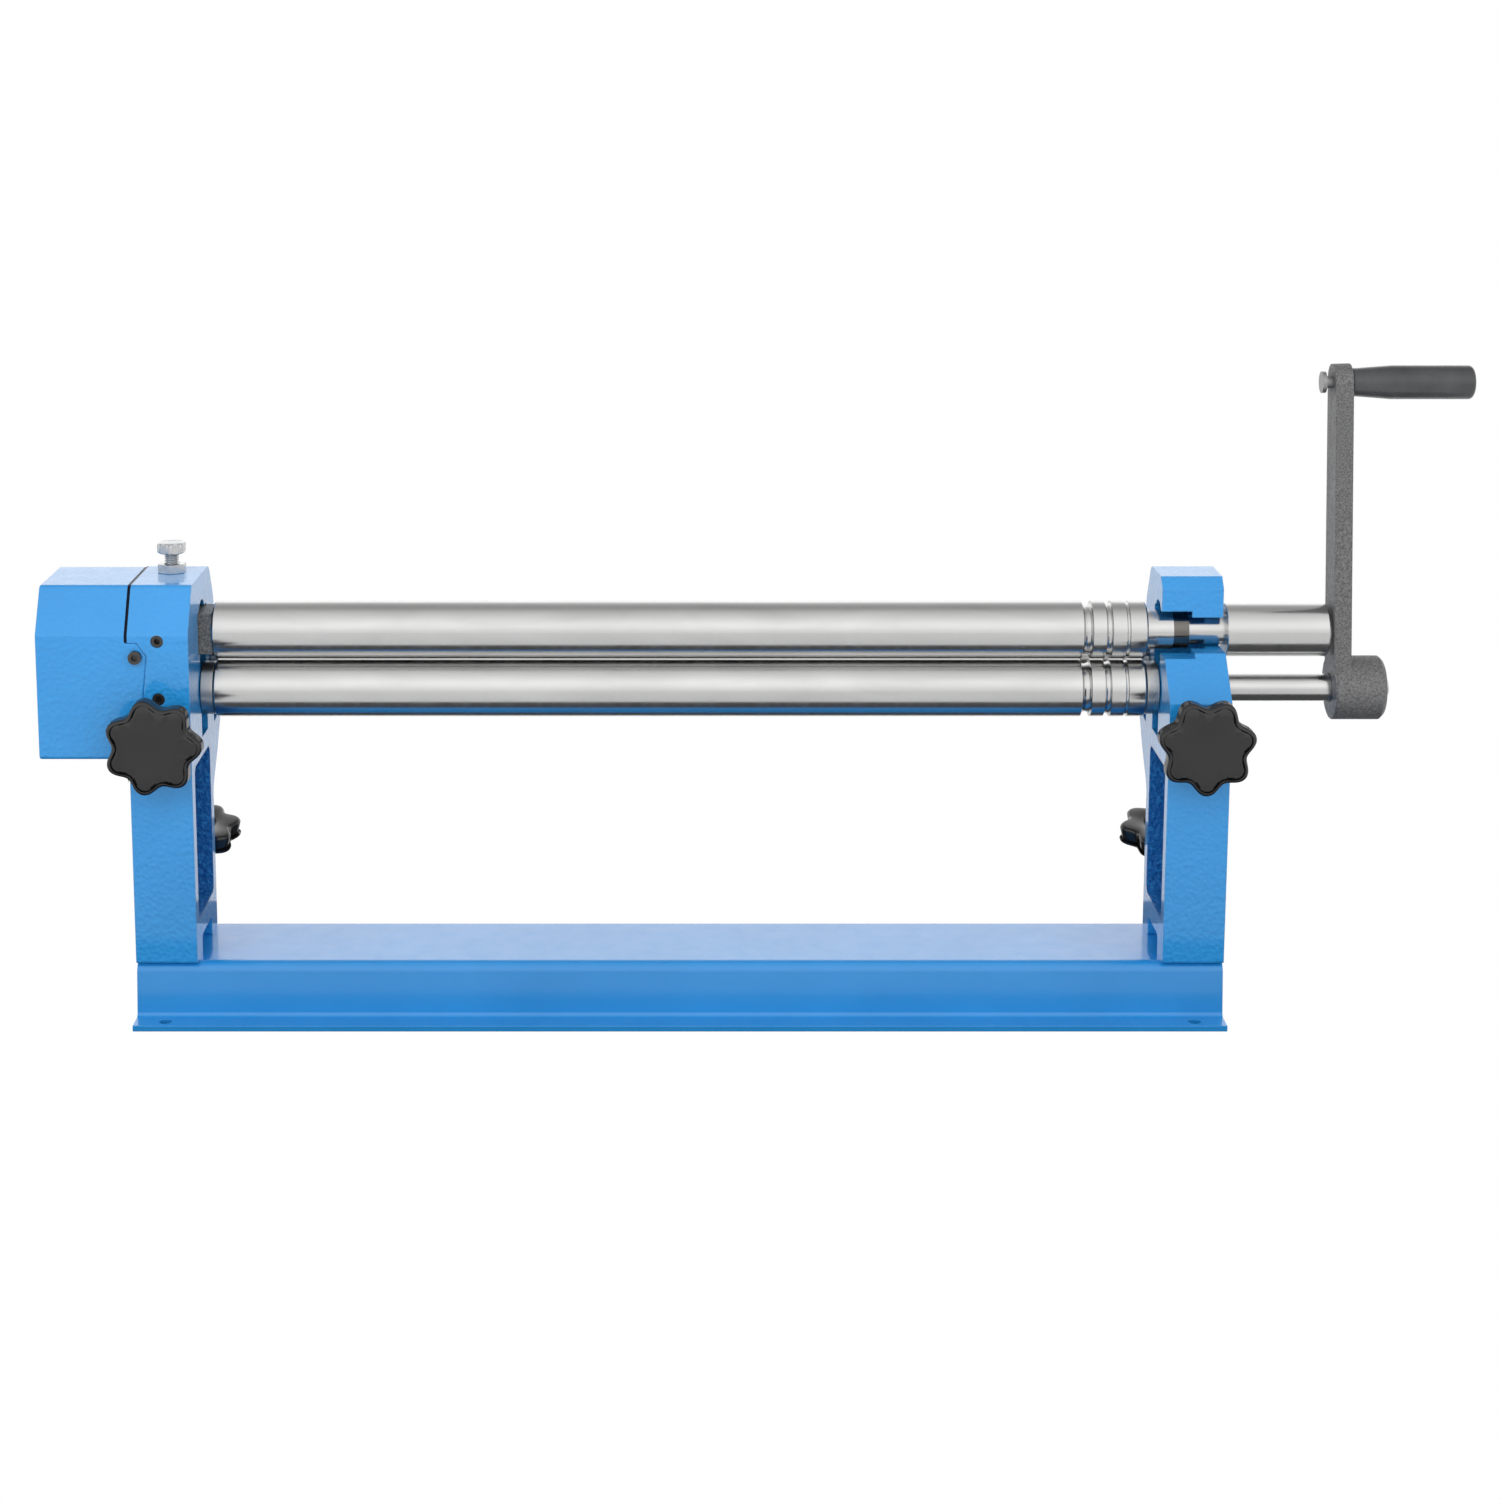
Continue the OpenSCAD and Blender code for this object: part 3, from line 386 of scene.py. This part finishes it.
def zinc_plate(name):
    f = Finish(name, Metallic=1.0)
    blotch = f.noise(110, 3, distortion=0.8)
    f.tint(f.levels(blotch, 0.3, 0.7, 0, 1), (0.5, 0.515, 0.54), (0.62, 0.625, 0.62))
    f.rough(f.noise(150, 2), 0.3, 0.7, 0.2, 0.28)
    return f.material


def black_oxide(name):
    f = Finish(name, Metallic=0.7, IOR=1.6)
    f.tint(f.noise(700, 3), (0.04, 0.04, 0.042), (0.09, 0.085, 0.08))
    f.rough(f.noise(400, 3), 0.3, 0.7, 0.28, 0.42)
    f.bump(f.noise(1800, 2), 0.01 * MM)
    return f.material


def moulded_black(name, gloss, haze, tone):
    """Black plastic whose roughness goes from gloss to gloss + haze."""
    f = Finish(name, IOR=1.45, Coat_Weight=0.3, Coat_Roughness=0.05)
    f.tint(f.levels(f.noise(24, 3), 0.35, 0.65, 0, 1), tone, tuple(c * 2.2 for c in tone))
    f.rough(f.noise(220, 4), 0.3, 0.7, gloss, gloss + haze)
    f.bump(f.noise(45, 2), 0.06 * MM)
    return f.material


crank_grey = raw_casting(
    "crank_grey", (0.075, 0.075, 0.077), (0.19, 0.19, 0.193), 0.3 * MM, 0.2)
block_grey = raw_casting("block_grey", (0.11, 0.107, 0.1), (0.27, 0.265, 0.25), 0.1 * MM, 0.6)
zinc = zinc_plate("zinc")
oxide = black_oxide("oxide")
knob_black = moulded_black("knob_black", 0.16, 0.1, (0.004, 0.004, 0.0045))
grip_black = moulded_black("grip_black", 0.24, 0.1, (0.032, 0.033, 0.035))
print("finishes made:", len(bpy.data.materials))

# %% [markdown]
# ## Painting the CAD nodes
# Each CAD node that keeps its own shape gets its finish in its material slots. A table from
# finish to nodes shows at a glance which pieces share one, and a loop does the rest.


# %% Paint the nodes
def paint(piece, material):
    piece.data.materials.clear()
    piece.data.materials.append(material)


FINISHES = {
    cast_blue: ["left_frame", "right_frame", "gear_cover"],
    sheet_blue: ["base_channel"],
    roll_steel: ["lower_roll", "rear_roll"],
    upper_steel.material: ["upper_roll"],
    block_steel: ["left_lower_block", "right_lower_block", "left_rear_block", "right_rear_block"],
    block_grey: ["trunnion_block", "left_wedge", "right_wedge"],
    gear_steel: [
        "upper_gear", "lower_gear", "upper_gear_key", "lower_gear_key", "crank_key",
        "grip_spindle",
    ],
    zinc: ["frame_bolts", "frame_washers", "swing_jam_nut", "crank_washer", "crank_screw"],
    oxide: ["cover_screw", "set_screws", "upper_gear_ring", "lower_gear_ring"],
    crank_grey: ["crank_arm"],
    grip_black: ["grip"],
}
for material, names in FINISHES.items():
    for name in names:
        paint(nodes[name], material)
print("dressed", sum(len(names) for names in FINISHES.values()), "nodes")

# %% [markdown]
# ## Rounding the edges
# The edges of the CAD solids are too sharp for real pieces, which catch light on a small
# rounding. Modifiers weld the triangles, round the edges and even out the shading, and the
# CAD mesh itself stays as it is. On the cover and the base the flat triangles are first
# joined into whole faces, since thin triangles would hold the rounding back. The frames'
# long arches don't stand that, so they keep a narrow rounding and the one in their shading.
# The widths are in millimetres.


# %% Round the edges
ROUNDING = {
    "left_frame": 1.0, "right_frame": 1.0, "gear_cover": 1.2, "base_channel": 0.4,
    "crank_arm": 1.6, "trunnion_block": 0.8, "swing_jam_nut": 0.5, "crank_screw": 0.5,
    "cover_screw": 0.4, "set_screws": 0.3, "crank_washer": 0.3, "grip": 0.6,
    "left_lower_block": 0.5, "right_lower_block": 0.5, "left_rear_block": 0.5,
    "right_rear_block": 0.5, "grip_spindle": 0.8, "frame_bolts": 0.4, "frame_washers": 0.2,
}
WHOLE_FACES = {"gear_cover", "base_channel"}
SHARP_ANGLE = math.radians(32)
FLAT_ANGLE = math.radians(0.5)
WELD_GAP = 0.002 * MM


def round_edges(piece, width_mm, whole):
    """Rounds the edges; whole joins flat triangles first and lets the full width through."""
    weld = piece.modifiers.new("weld", "WELD")
    weld.merge_threshold = WELD_GAP
    if whole:
        flats = piece.modifiers.new("whole_faces", "DECIMATE")
        flats.decimate_type = "DISSOLVE"
        flats.angle_limit = FLAT_ANGLE
    bevel = piece.modifiers.new("rounding", "BEVEL")
    bevel.width = width_mm * MM
    bevel.segments = 3
    bevel.limit_method = "ANGLE"
    bevel.angle_limit = SHARP_ANGLE
    bevel.use_clamp_overlap = not whole
    piece.modifiers.new("even_shading", "WEIGHTED_NORMAL").keep_sharp = False


for name, width in ROUNDING.items():
    round_edges(nodes[name], width, name in WHOLE_FACES)
print("rounded", len(ROUNDING), "nodes")

# %% [markdown]
# ## Building meshes ring by ring
# Knobs, screws and bolts are all stacks of closed rings of points. One function makes a ring
# from a rule that gives the radius at each angle, and another joins rings into a closed skin.
# Each piece then needs only its rule. A Screw or a Bevel modifier could draw some of these,
# but rings give the same closed skin for all of them. They are drawn in millimetres, up the
# Z axis.


# %% Rings and lofts
def ring(z, count, radius_at, turn=0):
    """A closed ring at height z, turned by an angle, with its radius from a rule."""
    points = []
    for i in range(count):
        a = 2 * math.pi * i / count
        r = radius_at(a) * MM
        points.append((r * math.cos(a + turn), r * math.sin(a + turn), z * MM))
    return points


def loft(name, rings, place, material, node, body, smooth_deg=35):
    """Joins equal rings of points into a closed mesh that stands for a CAD node."""
    mesh = bmesh.new()
    made = [[mesh.verts.new(place @ Vector(p)) for p in points] for points in rings]
    count = len(rings[0])
    for lower, upper in zip(made, made[1:]):
        for i in range(count):
            j = (i + 1) % count
            mesh.faces.new((lower[i], lower[j], upper[j], upper[i]))
    mesh.faces.new(tuple(reversed(made[0])))
    mesh.faces.new(tuple(made[-1]))
    bmesh.ops.recalc_face_normals(mesh, faces=mesh.faces)
    data = bpy.data.meshes.new(name)
    mesh.to_mesh(data)
    mesh.free()
    piece = bpy.data.objects.new(name, data)
    bpy.context.scene.collection.objects.link(piece)
    data.shade_smooth()
    data.set_sharp_from_angle(angle=math.radians(smooth_deg))
    paint(piece, material)
    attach(piece, body)
    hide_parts(node)
    return piece


print("a ring of radius 1 mm starts at", ring(0, 4, lambda a: 1)[0])

# %% [markdown]
# ## Star knobs
# Each knob is a moulded seven-lobed star with full, rounded rims. Its polished face sinks a
# little towards the middle, and the side towards the frame has a round recess with a hub for
# the screw. The outline is a wave round a circle. Insets along a quarter circle round the
# rims, which a bevel would have to squeeze into the tight hollows between the lobes.


# %% The knobs
LOBES = 7
KNOB_R = 31.5
LOBE_DEPTH = 5.8
LOBE_FULLNESS = 1.08
RIM = 2.6
RIM_STEPS = 6
KNOB_POINTS = LOBES * 24
FACE_DISH, DISH_INSET, FLAT_RING = 0.35, 12, 2.5
RECESS_R, RECESS_DEEP = 15.6, 3
BORE_DEEP = 6


def star_ring(z, inset, turn):
    def radius_at(a):
        wave = ((1 - math.cos(LOBES * a)) / 2) ** LOBE_FULLNESS
        return KNOB_R - LOBE_DEPTH * wave - inset

    return ring(z, KNOB_POINTS, radius_at, turn)


def knob_rings(thick, bore, turn):
    """From the face's middle over both rims into the recess and down the hub's bore."""
    quarter = [math.pi / 2 * k / RIM_STEPS for k in range(RIM_STEPS + 1)]
    face = [star_ring(FACE_DISH, DISH_INSET, turn), star_ring(0, RIM + FLAT_RING, turn)]
    lower = [star_ring(RIM * (1 - math.sin(q)), RIM * (1 - math.cos(q)), turn) for q in quarter]
    upper = [
        star_ring(thick - RIM * (1 - math.cos(q)), RIM * (1 - math.sin(q)), turn)
        for q in reversed(quarter)
    ]
    recess = [
        (RECESS_R, 0), (RECESS_R - 0.5, 0.25), (RECESS_R - 0.7, 0.8),
        (RECESS_R - 1, RECESS_DEEP - 0.4), (RECESS_R - 1.6, RECESS_DEEP),
    ]
    hub = [
        (4.6, RECESS_DEEP), (4, RECESS_DEEP - 0.4), (3.7, 0.5), (3.2, 0), (0.9, 0), (0.3, 0.7),
        (0.3, BORE_DEEP),
    ]
    steps = recess + [(bore / 2 + wall, down) for wall, down in hub]
    back = [ring(thick - down, KNOB_POINTS, lambda a: radius, turn) for radius, down in steps]
    return face + lower + upper + back


print("knob outline:", LOBES, "lobes of", KNOB_POINTS // LOBES, "points")

# %% [markdown]
# ## The knobs' places
# The tilted rear knobs are easier to place from their own geometry than from their boxes:
# the knob's outer face is the farthest point down its screw's axis, so the vertices tell.
# The axis is read from the joint that turns the knob. The table gives each knob's joint, its
# body, how far the star is turned at rest, in degrees, and its bore, in millimetres.


# %% Place the knobs
def joint(name):
    return next(j for j in frame["joints"] if j["name"] == name)


def axis_of(name):
    return Vector(joint(name)["axis"]).normalized()


def reach(node, start, along):
    """How far a node's first and last points lie from start, along an axis."""
    places = [(v.co - start).dot(along) for v in nodes[node].data.vertices]
    return min(places), max(places)


def facing(origin, along):
    """A matrix that stands a piece drawn up Z on origin, pointing along."""
    turn = Vector((0, 0, 1)).rotation_difference(Vector(along))
    return Matrix.Translation(origin) @ turn.to_matrix().to_4x4()


KNOBS = {
    "left_front_knob": ("left_pinch_turn", "left_pinch_knob", 0, 10),
    "right_front_knob": ("right_pinch_turn", "right_pinch_knob", 90, 10),
    "left_rear_knob": ("left_rear_turn", "left_rear_knob", 170, 12),
    "right_rear_knob": ("right_rear_turn", "right_rear_knob", 30, 12),
}
for node, (turning, body, degrees, bore) in KNOBS.items():
    along = axis_of(turning)
    start = Vector(joint(turning)["pos_m"])
    low, high = reach(node, start, along)
    face = start + along * low
    rings = knob_rings((high - low) / MM, bore, math.radians(degrees))
    loft(f"{node}_star", rings, facing(face, along), knob_black, node, body)
    print(node, "face at", [round(c / MM, 1) for c in face], "thickness",
          round((high - low) / MM, 1))

# %% [markdown]
# ## Screw threads
# The front and rear screws carry a coarse thread that shows between knob and frame. A thread
# is one ridge that climbs round a rod. On a grid of rings, each point's height in the ridge
# depends only on its angle and its place along the rod, so a saw wave of both gives the
# helix. A Screw modifier could draw the ridge, but it would leave the ends open, and the ridge
# couldn't fade out there. Threads stay inside the plain rod's radius, as cut threads do. The
# table gives each screw's joint, its body, its radius, the radius of its smooth tip, its
# pitch and the tip's length, in millimetres.


# %% The threaded rods
THREAD_SIDES = 32
RINGS_PER_TURN = 6
THREAD_DEPTH = 0.6
TIP_CHAMFER = 0.6


def thread_rings(radius, pitch, from_z, to_z):
    """Rings of a thread, THREAD_DEPTH pitches deep, that fades out at both ends."""
    steps = max(2, round((to_z - from_z) / pitch * RINGS_PER_TURN))
    rings = []
    for s in range(steps + 1):
        z = from_z + (to_z - from_z) * s / steps
        fade = min(1, (z - from_z) / pitch, (to_z - z) / pitch)

        def radius_at(a):
            saw = abs(((z / pitch - a / (2 * math.pi)) % 1) * 2 - 1)
            crest = min(1, max(0, saw * 1.25 - 0.1))
            return radius - THREAD_DEPTH * pitch * (1 - crest * fade)

        rings.append(ring(z, THREAD_SIDES, radius_at))
    return rings


def plain_rings(steps):
    return [ring(z, THREAD_SIDES, lambda a: radius) for radius, z in steps]


SCREWS = {
    "left_front_screw": ("left_pinch_turn", "left_pinch_knob", 5, 4, 1.5, 8.3),
    "right_front_screw": ("right_pinch_turn", "right_pinch_knob", 5, 4, 1.5, 8.3),
    "left_rear_screw": ("left_rear_turn", "left_rear_knob", 6, 5, 2, 6.3),
    "right_rear_screw": ("right_rear_turn", "right_rear_knob", 6, 5, 2, 6.3),
}
for node, (turning, body, radius, tip, pitch, tip_len) in SCREWS.items():
    along = axis_of(turning)
    start = Vector(joint(turning)["pos_m"])
    low, high = reach(node, start, along)
    length = (high - low) / MM
    rings = thread_rings(radius, pitch, 0, length - tip_len)
    rings += plain_rings([
        (tip, length - tip_len), (tip, length - TIP_CHAMFER), (tip - TIP_CHAMFER, length)])
    loft(f"{node}_thread", rings, facing(start + along * low, along), zinc, node, body,
         smooth_deg=60)
    print(node, "length", round(length, 1), "mm")

# %% [markdown]
# ## The swing bolt
# The bolt on the left frame has a bright hexagon head whose corners are turned off by a
# chamfer, and a coarse thread that shows between the head and its jam nut. A ring of the head
# is a hexagon whose corners are drawn in to a circle. Near the head's two ends the circle is
# small, so the corners go. Cutting the head with a cone would turn off the same corners, but
# it leaves uneven faces that shade badly. All sizes are in millimetres.


# %% The bolt
HEAD_H, HEAD_FLATS, BOLT_R, BOLT_PITCH, DOG_R, DOG_LEN = 7, 17, 5, 1.5, 3.5, 4.5
DOG_CHAMFER = 0.5
SPLIT = 3


def hex_ring(z, limit):
    def radius_at(a):
        from_flat = (a + math.pi / 6) % (math.pi / 3) - math.pi / 6
        return min(HEAD_FLATS / 2 / math.cos(from_flat), limit)

    return ring(z, THREAD_SIDES * SPLIT, radius_at)


def dense(rings):
    """Splits each side of the rings, so that they have as many points as the head's."""
    out = []
    for points in rings:
        fine = []
        for p, q in zip(points, points[1:] + points[:1]):
            fine += [tuple(p[k] + (q[k] - p[k]) * t / SPLIT for k in range(3))
                     for t in range(SPLIT)]
        out.append(fine)
    return out


bolt_low, bolt_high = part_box("swing_bolt")
bolt_axis = Vector(((bolt_low.x + bolt_high.x) / 2, (bolt_low.y + bolt_high.y) / 2, bolt_low.z))
bolt_len = (bolt_high.z - bolt_low.z) / MM
head_z = bolt_len - HEAD_H
flat_r = HEAD_FLATS / 2
corner_r = flat_r / math.cos(math.pi / 6)
head = [
    (0, flat_r - 0.3), (0.2, flat_r), (0.5, flat_r + 0.4), (0.9, corner_r),
    (HEAD_H - 1.1, corner_r), (HEAD_H - 0.5, flat_r + 0.4), (HEAD_H - 0.2, flat_r - 0.1),
    (HEAD_H, flat_r - 0.6),
]
bolt_rings = dense(plain_rings([(DOG_R - DOG_CHAMFER, 0), (DOG_R, DOG_CHAMFER), (DOG_R, DOG_LEN)]))
bolt_rings += dense(thread_rings(BOLT_R, BOLT_PITCH, DOG_LEN, head_z))
bolt_rings += [hex_ring(head_z + up, limit) for up, limit in head]
loft("swing_bolt_threaded", bolt_rings, Matrix.Translation(bolt_axis), zinc, "swing_bolt",
     "root", smooth_deg=25)
print("bolt length", round(bolt_len, 1), "mm")

# %% [markdown]
# ## Studio light
# Ground rolls show their surroundings, so the studio is drawn for them. Going from the front
# wall over the ceiling to the back wall, the room is light, then has one bright long lamp,
# then a dim ceiling, and ends in a white wall. Round a roll, this gives a white band under a
# grey one. Painted tops mirror the white back wall at a grazing angle and look pale. The
# camera itself sees plain white. Lamps could do this, but they show as separate patches, and
# a ramp lets each band be set alone. Each stop has its angle and its brightness. The angle is
# in degrees, 0 at the front wall, 90 overhead and 180 at the back wall.


# %% The surroundings
WALL_STOPS = [
    (-180, 1.3), (-150, 0.9), (-110, 0.5), (-62, 0.5), (-46, 0.95), (-12, 1.1), (0, 1.05),
    (11, 1.2), (23, 1.38), (35, 1.38), (46, 1.25), (58, 1.08), (73, 0.92), (87, 0.76),
    (102, 0.5), (110, 0.44), (122, 0.48), (140, 0.7), (156, 1.4), (163, 1.5), (170, 1.3),
    (180, 1.25),
]
# A ramp's colours end at 1, so the stops are divided by this and the strength gives it back.
STOP_LIMIT = 1.5


def studio_world():
    """A world whose brightness depends on the angle from the front wall over the ceiling."""
    world = bpy.data.worlds.new("studio")
    bpy.context.scene.world = world
    world.use_nodes = True
    shaders, links = world.node_tree.nodes, world.node_tree.links
    lit = shaders["Background"]
    coordinate = shaders.new("ShaderNodeTexCoord")
    parts = shaders.new("ShaderNodeSeparateXYZ")
    links.new(coordinate.outputs["Generated"], parts.inputs[0])
    ahead = shaders.new("ShaderNodeMath")
    ahead.operation = "MULTIPLY"
    ahead.inputs[1].default_value = -1
    links.new(parts.outputs["Y"], ahead.inputs[0])
    angle = shaders.new("ShaderNodeMath")
    angle.operation = "ARCTAN2"
    links.new(parts.outputs["Z"], angle.inputs[0])
    links.new(ahead.outputs[0], angle.inputs[1])
    share = shaders.new("ShaderNodeMapRange")
    share.inputs["From Min"].default_value = -math.pi
    share.inputs["From Max"].default_value = math.pi
    links.new(angle.outputs[0], share.inputs["Value"])
    ramp = shaders.new("ShaderNodeValToRGB")
    links.new(share.outputs["Result"], ramp.inputs["Fac"])
    stops = ramp.color_ramp.elements
    while len(stops) < len(WALL_STOPS):
        stops.new(0.5)
    for stop, (degrees, level) in zip(stops, WALL_STOPS):
        stop.position = (degrees + 180) / 360
        stop.color = (*[level / STOP_LIMIT] * 3, 1)
    links.new(ramp.outputs["Color"], lit.inputs["Color"])
    lit.inputs["Strength"].default_value = STOP_LIMIT
    plain = shaders.new("ShaderNodeBackground")
    plain.inputs["Strength"].default_value = 1.0
    plain.inputs["Color"].default_value = (1, 1, 1, 1)
    chosen = shaders.new("ShaderNodeMixShader")
    rays = shaders.new("ShaderNodeLightPath")
    links.new(rays.outputs["Is Camera Ray"], chosen.inputs[0])
    links.new(lit.outputs[0], chosen.inputs[1])
    links.new(plain.outputs[0], chosen.inputs[2])
    links.new(chosen.outputs[0], shaders["World Output"].inputs["Surface"])


studio_world()
print("studio stops:", len(WALL_STOPS))

# %% [markdown]
# ## Floor and mat
# A pale floor sends light back up, as a white table does. A dark mat round the machine keeps
# the undersides of the rolls and the pockets deep in tone. The camera sees neither of them,
# so the picture stays white round the machine. Their sizes are in metres.


# %% The floor and the mat
FLOOR_HALF, FLOOR_Z, FLOOR_TONE = 7, -1 * MM, 0.92
MAT_HALF_X, MAT_HALF_Y, MAT_Z, MAT_TONE = 0.62, 0.2, -0.6 * MM, 0.08


def ground(name, half_x, half_y, height, tone):
    """A level sheet that lights the machine from below and that the camera doesn't see."""
    finish = Finish(name, Roughness=0.8)
    finish.tint(finish.noise(2, 1), [tone] * 3, [tone * 1.05] * 3)
    mesh = bmesh.new()
    corners = [(-half_x, -half_y), (half_x, -half_y), (half_x, half_y), (-half_x, half_y)]
    mesh.faces.new([mesh.verts.new((x, y, height)) for x, y in corners])
    data = bpy.data.meshes.new(name)
    mesh.to_mesh(data)
    mesh.free()
    made = bpy.data.objects.new(name, data)
    bpy.context.scene.collection.objects.link(made)
    paint(made, finish.material)
    made.visible_camera = False
    made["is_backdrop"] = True


ground("floor", FLOOR_HALF, FLOOR_HALF, FLOOR_Z, FLOOR_TONE)
ground("dark_mat", MAT_HALF_X, MAT_HALF_Y, MAT_Z, MAT_TONE)
print("mat of", 2 * MAT_HALF_X, "by", 2 * MAT_HALF_Y, "m on the floor")

# %% [markdown]
# ## Key lamp
# Light that comes evenly from all sides hides the dimples of the castings. A large, weak lamp
# from the front left gives them their shading. The steel doesn't mirror it, so the bands on
# the rolls stay as they are.


# %% The key lamp
KEY_PLACE, KEY_TARGET, KEY_SIZE, KEY_WATTS = (-0.9, -2.2, 1.9), (0, 0, 0.2), (1.6, 0.8), 8


def area_light(name, place, target, size, watts):
    data = bpy.data.lights.new(name, "AREA")
    data.shape = "RECTANGLE"
    data.size, data.size_y = size
    data.energy = watts
    light = bpy.data.objects.new(name, data)
    bpy.context.scene.collection.objects.link(light)
    light.location = place
    light.rotation_euler = (Vector(target) - Vector(place)).to_track_quat("-Z", "Y").to_euler()
    light.visible_glossy = False


area_light("key", KEY_PLACE, KEY_TARGET, KEY_SIZE, KEY_WATTS)
bpy.context.scene.view_settings.view_transform = "Standard"
print("lamps:", len(bpy.data.lights))

# %% [markdown]
# ## The camera
# The camera stands where the photo was taken: its height and distance come from the lines
# in the photo that run from front to back, which meet at one point on its upper edge. The
# photo's camera was level. This one looks down a little, so that the machine stays in the
# picture when it is seen from other sides, and the lens is shifted so that the lines meet
# there again. Places in the photo are in pixels, and the camera's own place is in metres.


# %% The camera
IMAGE_SIDE = 1500
VANISHING_X = 680
FOCAL_PIXELS = 2732
CAMERA_PITCH = math.radians(9.5)
CAMERA_HEIGHT = 0.658
CAMERA_BACK = 1.7
SENSOR_MM = 36
camera_data = bpy.data.cameras.new("camera")
camera = bpy.data.objects.new("camera", camera_data)
bpy.context.scene.collection.objects.link(camera)
bpy.context.scene.camera = camera
camera_data.sensor_width = SENSOR_MM
camera_data.lens = FOCAL_PIXELS / IMAGE_SIDE * SENSOR_MM
camera.location = (0, frame_low.y - CAMERA_BACK, CAMERA_HEIGHT)
camera.rotation_euler = (math.pi / 2 - CAMERA_PITCH, 0, 0)
horizon_to_middle = FOCAL_PIXELS * math.tan(CAMERA_PITCH)
camera_data.shift_y = -(IMAGE_SIDE / 2 - horizon_to_middle) / IMAGE_SIDE
camera_data.shift_x = (IMAGE_SIDE / 2 - VANISHING_X) / IMAGE_SIDE
print("lens", round(camera_data.lens, 1), "mm, shift", round(camera_data.shift_y, 3))

# %% The sizes of the scene
low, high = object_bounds()
